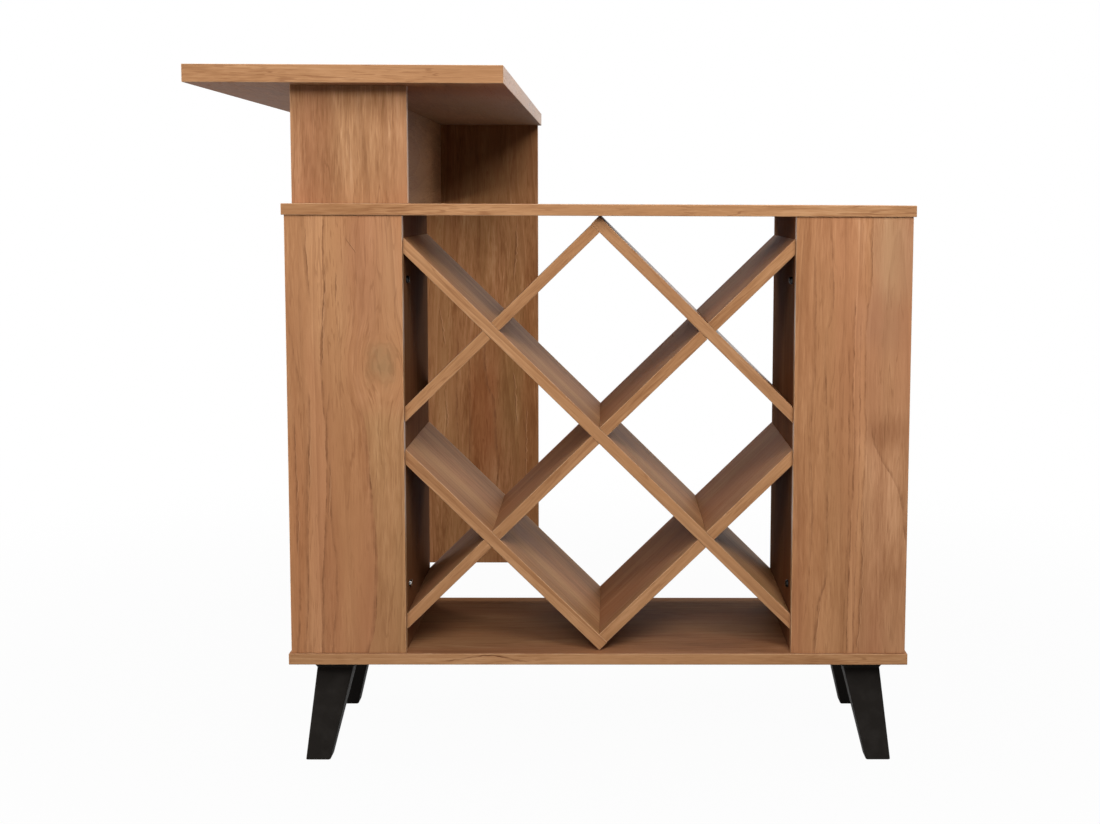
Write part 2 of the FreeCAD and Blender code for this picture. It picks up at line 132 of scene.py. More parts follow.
def new_material(name):
    """An empty node material: (material, wiring, Principled node)."""
    material = bpy.data.materials.new(name)
    material.use_nodes = True
    wiring = Wiring(material.node_tree)
    wiring.tree.nodes.clear()
    shader = wiring.add("BsdfPrincipled")
    wiring.add("OutputMaterial", {"Surface": shader.outputs[0]})
    return material, wiring, shader


def dress(material, *names):
    for name in names:
        data = nodes[name].data
        data.materials.clear()
        data.materials.append(material)


# Oak-grain laminate

OAK_DARK = (0.262, 0.110, 0.046)
OAK_BROWN = (0.352, 0.160, 0.072)
OAK_TAN = (0.432, 0.208, 0.098)
OAK_PALE = (0.545, 0.288, 0.150)
OAK_LINE = (0.205, 0.082, 0.034)
OAK_RIM = (0.160, 0.064, 0.028)
OAK_CRACK = (0.110, 0.046, 0.021)
OAK_KNOT = (0.270, 0.185, 0.092)
OAK_ARRIS = (0.560, 0.350, 0.200)
GOLD_SHIFT = (1.02, 1.05, 1.03, 1)
ROSE_SHIFT = (0.97, 0.91, 0.91, 1)
BAND_SHIFT = (0.975, 1.035, 1.02, 1)
SQUARE_ON, SQUARE = 0.8, 0.95
RINGS_PER_METRE = 46
FACE_STEP = 0.37
KNOT_LENGTH, KNOT_REACH, KNOT_PULL, KNOT_WAVES = 1.3, 3.5, 0.8, 8

# Noise scales of the print, per metre across the grain, along it and from layer to layer
WANDER, RIPPLE, PITH_SWAY = (5, 0.9, 1), (26, 5.5, 1), (9, 2.2, 1)
BROAD, MOTTLE, FINE, FIBRE = (9, 1.1, 1), (50, 6.0, 1), (260, 17, 1), (850, 45, 1)
PORES, PORE_AREAS = (480, 30, 1), (40, 4, 1)
HAIRS, HAIR_AREAS = (75, 4.2, 1), (22, 5, 1)
# The last scale on the next line spreads the arrises' lightening, both wear and painted highlight
LIVELY_AREAS, HUE_AREAS, KNOT_EDGE, WEAR_AND_HIGHLIGHT = (11, 2.4, 1), (10, 1.0, 1), (60, 40, 1), (30, 30, 30)
MOTTLE_WEIGHT, FINE_WEIGHT, FIBRE_WEIGHT, BROAD_WEIGHT, EARLY_WEIGHT = 1.00, 0.75, 0.55, 0.80, 0.22
PORE_DARKNESS, HAIR_DARKNESS = 0.45, 0.50


def oak_print_group():
    """The printed oak: Point and Facing are in the board's own axes, X across the grain and Y along it."""
    sockets = (
        ("Point", "Vector", (0, 0, 0)),
        ("Facing", "Vector", (0, 0, 1)),
        ("Seed", "Float", 0.0),
        ("Pith", "Float", 0.0),
        ("Pith Depth", "Float", 0.05),
        ("Pith Slope", "Float", 0.06),
        ("Figure", "Float", 0.5),
        ("Contrast", "Float", 1.0),
        ("Matt", "Float", 0.55),
        ("Back Matt", "Float", 0.0),
        # Shade scales the colour of the faces towards +Z and Back Shade that of the faces towards -Z, edges
        # and ends left out: painted shade below one, painted light above one
        ("Shade", "Float", 1.0),
        ("Back Shade", "Float", 1.0),
        ("Knot", "Vector", (0, 0, 0)),
        ("Knot Size", "Float", 0.0),
    )
    outlets = (("Color", "Color"), ("Roughness", "Float"), ("Height", "Float"))
    w, given, out = new_group("oak_print", sockets, outlets)

    # Where the point lies in the print, which the edge bands carry on a layer of their own
    x, y, z = w.split(given["Point"])
    facing_x, facing_y, facing_z = (w.math("ABSOLUTE", part) for part in w.split(given["Facing"]))
    on_end = w.math("GREATER_THAN", facing_y, SQUARE_ON)
    banded = w.math("MAXIMUM", w.math("GREATER_THAN", facing_x, SQUARE_ON), on_end)
    unbanded = w.math("SUBTRACT", 1.0, banded)
    across = w.choose(banded, x, z)
    along = w.choose(on_end, y, x)
    side = w.math("SIGN", w.split(given["Facing"])[2])
    layer = w.math("MULTIPLY_ADD", side, FACE_STEP, w.math("ADD", given["Seed"], banded))
    plain = w.join(across, along, layer)

    # The knot pulls the grain aside, and the grain wanders
    knot_x, knot_y, _ = w.split(given["Knot"])
    knot_size = w.math("MAXIMUM", given["Knot Size"], 0.001)
    knot_length = w.math("MULTIPLY", knot_size, KNOT_LENGTH)
    from_knot_x = w.math("DIVIDE", w.math("SUBTRACT", across, knot_x), knot_size)
    from_knot_y = w.math("DIVIDE", w.math("SUBTRACT", along, knot_y), knot_length)
    from_knot = w.length(w.join(from_knot_x, from_knot_y, 0))
    knot_pull = w.math("MULTIPLY", w.step(from_knot, 0.0, KNOT_REACH, KNOT_PULL, 0.0), from_knot_x)
    pulled = w.math("MULTIPLY_ADD", knot_pull, w.math("MULTIPLY", knot_size, -1.0), across)
    wander = w.math("ADD", w.swing(plain, WANDER, 0.020), w.swing(plain, RIPPLE, 0.0045, 3.0))
    grain_x = w.math("ADD", pulled, wander)
    grain = w.join(grain_x, along, layer)

    # Growth rings about the pith, each with its own strength
    depth = w.math("MULTIPLY_ADD", along, given["Pith Slope"], given["Pith Depth"])
    depth = w.math("ADD", depth, w.swing(plain, PITH_SWAY, 0.016))
    radius = w.length(w.join(w.math("SUBTRACT", grain_x, given["Pith"]), depth, 0))
    ring = w.math("MULTIPLY", radius, RINGS_PER_METRE)
    ring_share = w.math("FRACT", ring)
    ring_own = w.add("TexWhiteNoise", {"W": w.math("FLOOR", ring)}, noise_dimensions="1D").outputs[0]
    ring_own = w.step(ring_own, 0.2, 1.0, 0.05, 1.0)

    # Fibres, pores and hairlines
    broad = w.noise(grain, BROAD, 3.0)
    mottle = w.noise(grain, MOTTLE, 4.0, 0.6)
    fine = w.noise(grain, FINE, 3.0, 0.6)
    fibre = w.noise(grain, FIBRE)
    pore_zone = w.step(w.noise(grain, PORE_AREAS), 0.38, 0.62, 0.1, 1.0)
    pores = w.math("MULTIPLY", w.step(w.noise(grain, PORES, 1.0), 0.59, 0.67), pore_zone)
    hair_course = w.math("ABSOLUTE", w.math("SUBTRACT", w.noise(grain, HAIRS), 0.5))
    hair_zone = w.step(w.noise(plain, HAIR_AREAS), 0.45, 0.60)
    hairs = w.math("MULTIPLY", w.step(hair_course, 0.004, 0.016, 1.0, 0.0), hair_zone)
    late = w.math("MULTIPLY", w.step(ring_share, 0.62, 0.955), w.step(ring_share, 0.955, 0.99, 1.0, 0.0))
    late = w.math("MULTIPLY", w.math("MULTIPLY", late, ring_own), w.step(fine, 0.25, 0.65, 0.35, 1.0))
    early = w.math("MULTIPLY", w.step(ring_share, 0.0, 0.14, 1.0, 0.0), ring_own)

    # Tone, then colour
    lively = w.step(w.noise(plain, LIVELY_AREAS), 0.38, 0.62, 0.35, 1.15)
    tone = 0.0
    for noise, weight in ((mottle, MOTTLE_WEIGHT), (fine, FINE_WEIGHT), (fibre, FIBRE_WEIGHT)):
        tone = w.weighed(noise, weight, tone)
    tone = w.math("MULTIPLY_ADD", tone, w.math("MULTIPLY", lively, given["Contrast"]), 0.5)
    tone = w.weighed(broad, BROAD_WEIGHT, tone)
    tone = w.math("MULTIPLY_ADD", w.math("MULTIPLY", early, given["Figure"]), EARLY_WEIGHT, tone)
    colour = w.tones(tone, ((0.10, OAK_DARK), (0.36, OAK_BROWN), (0.58, OAK_TAN), (0.92, OAK_PALE)))
    shift = w.mix(w.step(w.noise(grain, HUE_AREAS), 0.36, 0.62), GOLD_SHIFT, ROSE_SHIFT)
    shift = w.mix(banded, shift, BAND_SHIFT)
    colour = w.mix(1.0, colour, shift, "MULTIPLY")
    # Painted shade and painted light: each face's colour scaled by Shade or Back Shade
    shade = w.choose(w.math("GREATER_THAN", side, 0.0), given["Back Shade"], given["Shade"])
    colour = w.mix(1.0, colour, w.choose(banded, shade, 1.0), "MULTIPLY")
    colour = w.mix(w.math("MULTIPLY", late, given["Figure"]), colour, (*OAK_LINE, 1))
    pore_share = w.math("MULTIPLY", pores, w.math("MULTIPLY", given["Contrast"], PORE_DARKNESS))
    hair_share = w.math("MULTIPLY", hairs, w.math("MULTIPLY", given["Contrast"], HAIR_DARKNESS))
    colour = w.mix(w.math("MAXIMUM", pore_share, hair_share), colour, (*OAK_LINE, 1))

    # The knot's own rings and heart, and the arrises, lightened as wear and as a painted highlight
    knot_on = w.math("MULTIPLY", w.math("GREATER_THAN", given["Knot Size"], 0.002), unbanded)
    knot_ring = w.math("ADD", from_knot, w.swing(plain, KNOT_EDGE, 0.80, 3.0))
    knot_core = w.math("MULTIPLY", w.step(knot_ring, 0.20, 1.45, 0.40, 0.0), knot_on)
    knot_waves = w.math("SINE", w.math("MULTIPLY", knot_ring, KNOT_WAVES))
    knot_rim = w.math("MULTIPLY", w.step(knot_ring, 0.7, 2.4, 0.16, 0.0), knot_on)
    colour = w.mix(w.math("MULTIPLY", w.step(knot_waves, 0.2, 1.0), knot_rim), colour, (*OAK_LINE, 1))
    colour = w.mix(knot_core, colour, (*OAK_KNOT, 1))
    squarest = w.math("MAXIMUM", w.math("MAXIMUM", facing_x, facing_y), facing_z)
    arris = w.step(squarest, SQUARE_ON, SQUARE, 1.0, 0.0)
    wear_and_highlight = w.math("MULTIPLY", arris, w.step(w.noise(plain, WEAR_AND_HIGHLIGHT), 0.25, 0.7, 0.25, 0.85))
    colour = w.mix(wear_and_highlight, colour, (*OAK_ARRIS, 1))
    w.tree.links.new(colour, out["Color"])

    # Gloss and relief
    rough = w.math("MULTIPLY_ADD", pores, 0.12, given["Matt"])
    rough = w.weighed(mottle, 0.14, rough)
    on_back = w.math("MULTIPLY", w.math("LESS_THAN", side, 0.0), unbanded)
    rough = w.math("MULTIPLY_ADD", on_back, given["Back Matt"], rough)
    rough = w.math("MULTIPLY_ADD", banded, -0.20, rough)
    w.tree.links.new(rough, out["Roughness"])
    height = w.math("MULTIPLY_ADD", pores, -0.5, w.math("MULTIPLY", fine, 0.45))
    height = w.math("MULTIPLY_ADD", late, -0.35, height)
    w.tree.links.new(height, out["Height"])
    return w.tree


# What every mark on the oak takes, and the noise scales of the marks, per metre
MARK_SOCKETS = (
    ("Color", "Color", (0.4, 0.2, 0.1, 1)),
    ("Point", "Vector", (0, 0, 0)),
    ("Facing", "Vector", (0, 0, 1)),
)
SPLIT_SWAY, SPLIT_JITTER, SPLIT_WIDTHS = (1, 16, 1), (1, 75, 1), (1, 55, 1)
PATCH_SWAY, PATCH_FEATHER = (40, 8, 1), (330, 22, 1)
ZONE_SWAY, ZONE_JITTER, ZONE_STRENGTHS, ZONE_FEATHER = (1, 28, 1), (1, 130, 1), (1, 40, 1), (420, 26, 1)
LEAST_SPLIT, ZONE_FADE, ZONE_SOFTNESS = 0.00002, 0.05, 0.0012


def on_face(w, given):
    """One on a board's two faces, and zero on its edges and ends."""
    return w.step(w.math("ABSOLUTE", w.split(given["Facing"])[2]), SQUARE_ON, SQUARE)


def oak_split_group():
    """One printed check in the oak: a dark wavering line, pointed at both ends, with a pale lip beside it."""
    sockets = (
        *MARK_SOCKETS,
        ("At", "Vector", (0, 0, 0)),
        ("Length", "Float", 0.1),
        ("Width", "Float", 0.0015),
        ("Lean", "Float", 0.0),
        ("Depth", "Float", 0.7),
    )
    w, given, out = new_group("oak_split", sockets, (("Color", "Color"),))
    x, y, _ = w.split(given["Point"])
    at_x, at_y, seed = w.split(given["At"])
    run = w.math("SUBTRACT", y, at_y)
    line = w.join(seed, y, 0)
    sway = w.math("ADD", w.swing(line, SPLIT_SWAY, 0.005), w.swing(line, SPLIT_JITTER, 0.0016, 3.0))
    course = w.math("ADD", w.math("MULTIPLY_ADD", run, given["Lean"], at_x), sway)
    share = w.math("DIVIDE", run, w.math("MULTIPLY", given["Length"], 0.5))
    taper = w.math("MAXIMUM", w.math("SUBTRACT", 1.0, w.math("MULTIPLY", share, share)), 0.0)
    taper = w.math("MULTIPLY", taper, w.step(w.noise(line, SPLIT_WIDTHS), 0.3, 0.7, 0.3, 1.3))
    half = w.math("MULTIPLY_ADD", taper, given["Width"], LEAST_SPLIT)
    near = w.math("DIVIDE", w.math("SUBTRACT", x, course), half)
    apart = w.math("ABSOLUTE", near)
    dark = w.math("MULTIPLY", w.step(apart, 0.2, 1.0, 1.0, 0.0), given["Depth"])
    soft = w.math("MULTIPLY", w.step(apart, 0.5, 5.0, 1.0, 0.0), w.math("MULTIPLY", given["Depth"], 0.35))
    lip = w.step(w.math("ABSOLUTE", w.math("SUBTRACT", near, 2.2)), 0.3, 1.4, 0.35, 0.0)
    shown = w.math("MULTIPLY", w.step(taper, 0.02, 0.35), on_face(w, given))
    colour = given["Color"]
    for strength, shade in ((soft, OAK_LINE), (lip, OAK_PALE), (dark, OAK_CRACK)):
        colour = w.mix(w.math("MULTIPLY", strength, shown), colour, (*shade, 1))
    w.tree.links.new(colour, out["Color"])
    return w.tree


def oak_patch_group():
    """A patch of the oak in another tone, with a soft and wavering edge."""
    sockets = (
        *MARK_SOCKETS,
        ("At", "Vector", (0, 0, 0)),
        ("Size", "Vector", (0.05, 0.1, 1)),
        ("Edge", "Float", 0.5),
        ("Tint", "Color", (1, 1, 1, 1)),
    )
    w, given, out = new_group("oak_patch", sockets, (("Color", "Color"),))
    x, y, _ = w.split(given["Point"])
    seed = w.split(given["At"])[2]
    from_middle = w.vector("DIVIDE", w.vector("SUBTRACT", given["Point"], given["At"]), given["Size"])
    out_x, out_y, _ = w.split(from_middle)
    flat = w.join(x, y, seed)
    waver = w.math("ADD", w.swing(flat, PATCH_SWAY, 0.6, 3.0), w.swing(flat, PATCH_FEATHER, 0.35))
    reach = w.math("ADD", w.length(w.join(out_x, out_y, 0)), waver)
    soft = w.math("DIVIDE", w.math("SUBTRACT", reach, 1.0), given["Edge"])
    shown = w.math("MULTIPLY", w.step(soft, -1.0, 1.0, 1.0, 0.0), on_face(w, given))
    tinted = w.mix(1.0, given["Color"], given["Tint"], "MULTIPLY")
    w.tree.links.new(w.mix(shown, given["Color"], tinted), out["Color"])
    return w.tree


def oak_zone_group():
    """The oak beside a drawn line in another tone, with a dark rim along the line's other side."""
    sockets = (
        *MARK_SOCKETS,
        ("Course", "Float", 0.0),
        ("Span", "Vector", (0, 1, 0)),
        ("Side", "Float", 1.0),
        ("Reach", "Float", 0.03),
        ("Rim", "Float", 0.004),
        ("Depth", "Float", 0.3),
        ("Tint", "Color", (1, 1, 1, 1)),
    )
    w, given, out = new_group("oak_zone", sockets, (("Color", "Color"),))
    x, y, _ = w.split(given["Point"])
    low, high, seed = w.split(given["Span"])
    line = w.join(seed, y, 0)
    waver = w.math("ADD", w.swing(line, ZONE_SWAY, 0.0025), w.swing(line, ZONE_JITTER, 0.0012, 3.0))
    off = w.math("SUBTRACT", x, w.math("ADD", given["Course"], waver))
    off = w.math("MULTIPLY", off, given["Side"])
    within = w.step(w.math("DIVIDE", off, given["Reach"]), 0.45, 1.0, 1.0, 0.0)
    inside = w.math("MULTIPLY", w.step(off, -0.0010, 0.0014), within)
    rim = w.step(w.math("DIVIDE", off, given["Rim"]), -1.0, 0.0)
    rim = w.math("MULTIPLY", rim, w.step(off, 0.0, ZONE_SOFTNESS, 1.0, 0.0))
    uneven = w.step(w.noise(line, ZONE_STRENGTHS, 3.0), 0.3, 0.65, 0.3, 1.2)
    feathered = w.step(w.noise(w.join(x, y, seed), ZONE_FEATHER), 0.35, 0.65, 0.4, 1.3)
    rim = w.math("MULTIPLY", w.math("MULTIPLY", rim, given["Depth"]), w.math("MULTIPLY", uneven, feathered))
    from_low = w.step(w.math("SUBTRACT", y, low), 0.0, ZONE_FADE)
    from_high = w.step(w.math("SUBTRACT", high, y), 0.0, ZONE_FADE)
    shown = w.math("MULTIPLY", w.math("MULTIPLY", from_low, from_high), on_face(w, given))
    tinted = w.mix(1.0, given["Color"], given["Tint"], "MULTIPLY")
    colour = w.mix(w.math("MULTIPLY", inside, shown), given["Color"], tinted)
    colour = w.mix(w.math("MULTIPLY", rim, shown), colour, (*OAK_RIM, 1))
    w.tree.links.new(colour, out["Color"])
    return w.tree


OAK_PRINT = oak_print_group()
OAK_PATCH = oak_patch_group()
OAK_ZONE = oak_zone_group()
OAK_SPLIT = oak_split_group()
PATCH_SEED_STEP, ZONE_SEED_STEP, SPLIT_SEED_STEP = 4.7, 5.3, 3.1
OAK_SHINE, OAK_RELIEF, RELIEF_STRENGTH = 0.2, 0.0004, 0.25


def drawn_course(w, along, points):
    """How far across the board a drawn line lies, from its (across, along) points, lowest first."""
    left, right = min(x for x, _ in points), max(x for x, _ in points)
    low, high = points[0][1], points[-1][1]
    share = w.add("MapRange", {"Value": along, "From Min": low, "From Max": high}).outputs[0]
    curve = w.add("FloatCurve", {"Value": share})
    marks = curve.mapping.curves[0].points
    while len(marks) < len(points):
        marks.new(1.0, 1.0)
    for mark, (x, y) in zip(marks, points):
        mark.location = ((y - low) / (high - low), (x - left) / (right - left))
    curve.mapping.update()
    return w.math("MULTIPLY_ADD", curve.outputs[0], right - left, left)


def oak(
    name, across, along, shine=OAK_SHINE, relief=OAK_RELIEF,
    patches=(), zones=(), edge_zones=(), splits=(), **print_values,
):
    """Oak laminate whose grain runs along one axis of a board, with its own print values and marks.

    In the board's own axes, a patch is (across, along, half across, half along, edge, tint), a zone is
    (points of its line, side, reach, rim, depth, tint), and a split is (across, along, length, width,
    lean, depth). An edge zone lies on the board's long edges, and the points of its line are (through
    the thickness, along).
    """
    material, w, shader = new_material(name)
    turn = Matrix((across, along, across.cross(along))).to_euler()
    seen = w.add("TexCoord").outputs
    point = w.add("Mapping", {"Vector": seen["Object"], "Rotation": turn}).outputs[0]
    facing = w.add("Mapping", {"Vector": seen["Normal"], "Rotation": turn}).outputs[0]
    values = {key.replace("_", " ").title(): value for key, value in print_values.items()}
    printed = w.add("Group", {"Point": point, "Facing": facing, **values}, node_tree=OAK_PRINT).outputs
    colour = printed["Color"]
    for place, (x, y, half_across, half_along, edge, tint) in enumerate(patches):
        wires = {"Color": colour, "Point": point, "Facing": facing, "Tint": (*tint, 1), "Edge": edge}
        wires |= {"At": (x, y, PATCH_SEED_STEP * place), "Size": (half_across, half_along, 1)}
        colour = w.add("Group", wires, node_tree=OAK_PATCH).outputs[0]
    drawn = [(zone, point, facing) for zone in zones]
    drawn += [(zone, w.flip(point), w.flip(facing)) for zone in edge_zones]
    for place, ((points, side, reach, rim, depth, tint), where, towards) in enumerate(drawn):
        span = (points[0][1], points[-1][1], ZONE_SEED_STEP * place)
        wires = {"Color": colour, "Point": where, "Facing": towards, "Tint": (*tint, 1), "Span": span}
        wires |= {"Course": drawn_course(w, w.split(where)[1], points)}
        wires |= {"Side": side, "Reach": reach, "Rim": rim, "Depth": depth}
        colour = w.add("Group", wires, node_tree=OAK_ZONE).outputs[0]
    for place, (x, y, length, width, lean, depth) in enumerate(splits):
        wires = {"Color": colour, "Point": point, "Facing": facing, "At": (x, y, SPLIT_SEED_STEP * place)}
        wires |= {"Length": length, "Width": width, "Lean": lean, "Depth": depth}
        colour = w.add("Group", wires, node_tree=OAK_SPLIT).outputs[0]
    bump = w.add("Bump", {"Height": printed["Height"], "Distance": relief, "Strength": RELIEF_STRENGTH})
    finish = {"Base Color": colour, "Roughness": printed["Roughness"], "Normal": bump.outputs[0]}
    w.wire(shader, {**finish, "Specular IOR Level": shine})
    return material


RACK_RUN, RACK_RISE = 0.346, 0.3383
RISING = Vector((RACK_RUN, 0, RACK_RISE)).normalized()
FALLING = Vector((RACK_RUN, 0, -RACK_RISE)).normalized()

ROSE, MAUVE, WARM = (0.96, 0.92, 0.90), (1.00, 1.03, 1.09), (0.95, 0.88, 0.83)
PALE, CREAM, OLIVE = (1.16, 1.20, 1.25), (1.09, 1.12, 1.15), (1.06, 1.18, 1.26)
GOLDEN, RUST, DUSK = (0.94, 1.01, 0.98), (0.84, 0.80, 0.78), (0.93, 0.93, 0.98)
SAME = (1, 1, 1)

LEFT_FRONT_PATCHES = (
    (-0.395, 0.840, 0.035, 0.150, 0.7, CREAM),
    (-0.285, 0.805, 0.045, 0.100, 0.6, MAUVE),
    (-0.330, 0.360, 0.034, 0.220, 0.7, ROSE),
    (-0.408, 0.320, 0.018, 0.200, 0.8, WARM),
)
LEFT_FRONT_ZONES = (
    (((-0.371, 0.120), (-0.370, 0.262), (-0.364, 0.385), (-0.360, 0.506), (-0.364, 0.586), (-0.367, 0.670),
      (-0.360, 0.730), (-0.361, 0.805), (-0.358, 0.950)), -1, 0.034, 0.006, 0.50, PALE),
    (((-0.303, 0.120), (-0.297, 0.184), (-0.287, 0.221), (-0.283, 0.262), (-0.281, 0.324), (-0.284, 0.395),
      (-0.287, 0.426), (-0.293, 0.506), (-0.297, 0.549), (-0.311, 0.600)), 1, 1.0, 0.008, 0.60, GOLDEN),
    (((-0.409, 0.120), (-0.408, 0.188), (-0.404, 0.303), (-0.408, 0.405), (-0.408, 0.486), (-0.414, 0.600)),
     1, 0.012, 0.005, 0.50, SAME),
    (((-0.398, 0.120), (-0.397, 0.188), (-0.391, 0.303), (-0.391, 0.405), (-0.387, 0.506), (-0.385, 0.566),
      (-0.393, 0.630)), 1, 0.012, 0.005, 0.50, SAME),
    (((-0.357, 0.120), (-0.355, 0.188), (-0.347, 0.303), (-0.354, 0.405), (-0.355, 0.482), (-0.360, 0.506),
      (-0.345, 0.620)), -1, 0.012, 0.005, 0.45, SAME),
    (((-0.381, 0.740), (-0.383, 0.781), (-0.387, 0.812), (-0.392, 0.920)), 1, 0.012, 0.006, 0.45, SAME),
    (((-0.396, 0.590), (-0.400, 0.618), (-0.405, 0.650), (-0.418, 0.730)), 1, 0.012, 0.005, 0.45, SAME),
)
LEFT_FRONT_SPLITS = (
    (-0.362, 0.725, 0.190, 0.0013, 0.045, 0.65),
    (-0.387, 0.826, 0.090, 0.0010, -0.02, 0.55),
    (-0.342, 0.773, 0.055, 0.0012, 0.02, 0.60),
    (-0.388, 0.490, 0.130, 0.0009, 0.03, 0.50),
    (-0.407, 0.430, 0.240, 0.0009, -0.02, 0.45),
    (-0.355, 0.450, 0.110, 0.0008, 0.03, 0.40),
    (-0.317, 0.839, 0.026, 0.0011, -0.70, 0.75),
)
RIGHT_FRONT_PATCHES = (
    (0.545, 0.830, 0.034, 0.070, 0.6, OLIVE),
    (0.455, 0.830, 0.040, 0.090, 0.8, CREAM),
    (0.522, 0.716, 0.032, 0.045, 0.7, DUSK),
    (0.534, 0.545, 0.034, 0.024, 0.7, RUST),
    (0.530, 0.425, 0.028, 0.085, 0.4, CREAM),
    (0.410, 0.300, 0.030, 0.150, 0.8, ROSE),
)
RIGHT_FRONT_ZONES = (
    (((0.496, 0.120), (0.496, 0.189), (0.498, 0.325), (0.498, 0.427), (0.502, 0.528), (0.500, 0.588),
      (0.499, 0.668), (0.501, 0.740), (0.507, 0.807), (0.502, 0.950)), 1, 1.0, 0.004, 0.40, MAUVE),
    (((0.475, 0.120), (0.476, 0.189), (0.478, 0.304), (0.481, 0.427), (0.484, 0.528), (0.480, 0.628),
      (0.481, 0.720), (0.486, 0.780)), 1, 0.024, 0.004, 0.55, PALE),
    (((0.416, 0.120), (0.423, 0.189), (0.430, 0.263), (0.443, 0.337), (0.442, 0.427), (0.442, 0.528),
      (0.436, 0.628), (0.437, 0.700), (0.445, 0.732), (0.446, 0.776), (0.429, 0.900)),
     1, 0.012, 0.005, 0.60, SAME),
    (((0.469, 0.120), (0.470, 0.189), (0.472, 0.304), (0.475, 0.427), (0.474, 0.548), (0.470, 0.700)),
     -1, 0.012, 0.004, 0.40, SAME),
    (((0.486, 0.120), (0.487, 0.189), (0.489, 0.345), (0.492, 0.508), (0.491, 0.629), (0.491, 0.760)),
     1, 0.008, 0.003, 0.40, SAME),
    (((0.412, 0.260), (0.415, 0.325), (0.418, 0.427), (0.413, 0.548), (0.420, 0.668), (0.404, 0.860)),
     1, 0.012, 0.006, 0.35, SAME),
    (((0.574, 0.330), (0.566, 0.386), (0.558, 0.439), (0.545, 0.471), (0.527, 0.500), (0.514, 0.530),
      (0.506, 0.570)), -1, 0.050, 0.007, 0.45, CREAM),
)
RIGHT_FRONT_SPLITS = (
    (0.506, 0.825, 0.110, 0.0009, -0.03, 0.50),
    (0.428, 0.225, 0.150, 0.0010, 0.08, 0.50),
    (0.500, 0.336, 0.230, 0.0009, 0.01, 0.45),
    (0.495, 0.230, 0.110, 0.0009, 0.05, 0.45),
)
COLUMN_PATCHES = (
    (-0.330, 1.000, 0.200, 0.200, 0.5, (0.97, 1.02, 1.07)),
)
BOTTOM_EDGE_ZONES = (
    (((-0.169, -0.190), (-0.174, -0.146), (-0.177, -0.131), (-0.180, -0.108), (-0.180, -0.101),
      (-0.178, -0.085), (-0.176, -0.072), (-0.172, -0.059), (-0.168, -0.020)), 1, 0.003, 0.0026, 1.00, SAME),
)
PARTITION_PATCHES = (
    (-0.550, 0.535, 2.000, 2.000, 0.5, WARM),
)
# An olive tint over the whole falling boards: a painted tint of the grey-green sheen on the decks
FALLING_SHEEN_TINT = (
    (-0.550, 0.000, 2.000, 2.000, 0.5, (0.96, 1.03, 0.97)),
)
END_PANEL_PATCHES = (
    (-0.325, 0.550, 2.000, 2.000, 0.5, (1.00, 0.97, 0.88)),
    (-0.222, 0.370, 0.036, 0.150, 0.6, (0.80, 0.66, 0.60)),
    (-0.100, 0.430, 0.022, 0.300, 0.7, (0.88, 0.78, 0.72)),
    (-0.264, 0.800, 0.012, 0.110, 0.6, CREAM),
    (-0.155, 0.440, 0.028, 0.140, 0.7, (0.86, 0.92, 0.86)),
    (-0.330, 0.450, 0.030, 0.250, 0.7, CREAM),
)
END_PANEL_ZONES = (
    (((-0.184, 0.150), (-0.182, 0.232), (-0.180, 0.268), (-0.185, 0.327), (-0.188, 0.412), (-0.206, 0.466),
      (-0.211, 0.515), (-0.214, 0.620)), 1, 0.020, 0.008, 0.80, SAME),
    (((-0.254, 0.190), (-0.254, 0.286), (-0.252, 0.380), (-0.253, 0.457), (-0.250, 0.560)),
     -1, 0.020, 0.006, 0.70, SAME),
    (((-0.279, 0.220), (-0.278, 0.323), (-0.281, 0.420), (-0.279, 0.502), (-0.275, 0.600)),
     1, 0.020, 0.006, 0.65, SAME),
)
END_PANEL_SPLITS = (
    (-0.308, 0.395, 0.130, 0.0014, -0.06, 0.65),
    (-0.138, 0.790, 0.170, 0.0016, 0.06, 0.65),
    (-0.318, 0.610, 0.110, 0.0014, -0.14, 0.60),
    (-0.140, 0.430, 0.160, 0.0014, -0.07, 0.60),
    (-0.113, 0.300, 0.260, 0.0014, 0.02, 0.60),
    (-0.420, 0.620, 0.300, 0.0014, 0.02, 0.60),
)

# Below one, shade and back_shade paint shade into one face of a board, and above one they paint light
left_front = oak(
    "oak_left_front", X, Z, patches=LEFT_FRONT_PATCHES, zones=LEFT_FRONT_ZONES, splits=LEFT_FRONT_SPLITS,
    seed=1.0, pith=-0.31, pith_depth=-0.03, figure=0.35, contrast=0.75,
    knot=(-0.2705, 0.648, 0), knot_size=0.024,
)
right_front = oak(
    "oak_right_front", X, Z,
    patches=RIGHT_FRONT_PATCHES, zones=RIGHT_FRONT_ZONES, splits=RIGHT_FRONT_SPLITS,
    seed=7.3, pith=0.545, pith_depth=-0.03, figure=0.35, contrast=0.70,
)
column = oak(
    "oak_column", X, Z, patches=COLUMN_PATCHES, seed=12.1, pith=-0.40, figure=0.40, contrast=0.95,
)
# The end panel's front face is darkened: painted shade
end_panel = oak(
    "oak_end_panel", X, Z, shine=0.05,
    patches=END_PANEL_PATCHES, zones=END_PANEL_ZONES, splits=END_PANEL_SPLITS,
    seed=15.7, pith=-0.2, figure=0.7, contrast=1.40, shade=0.72,
)
cabinet_top = oak("oak_cabinet_top", Y, X, shine=0.1, seed=21.4, pith=-0.5)
# The bottom's upper face is darkened: painted shade
cabinet_bottom = oak(
    "oak_cabinet_bottom", Y, X, shine=0.02, edge_zones=BOTTOM_EDGE_ZONES,
    seed=22.8, pith=-0.5, back_shade=0.66,
)
shelves = oak("oak_shelves", Y, X, seed=24.9, pith=-0.5)
outer_sides = oak("oak_outer_sides", Y, Z, shine=0.15, seed=28.4, pith=-0.62)
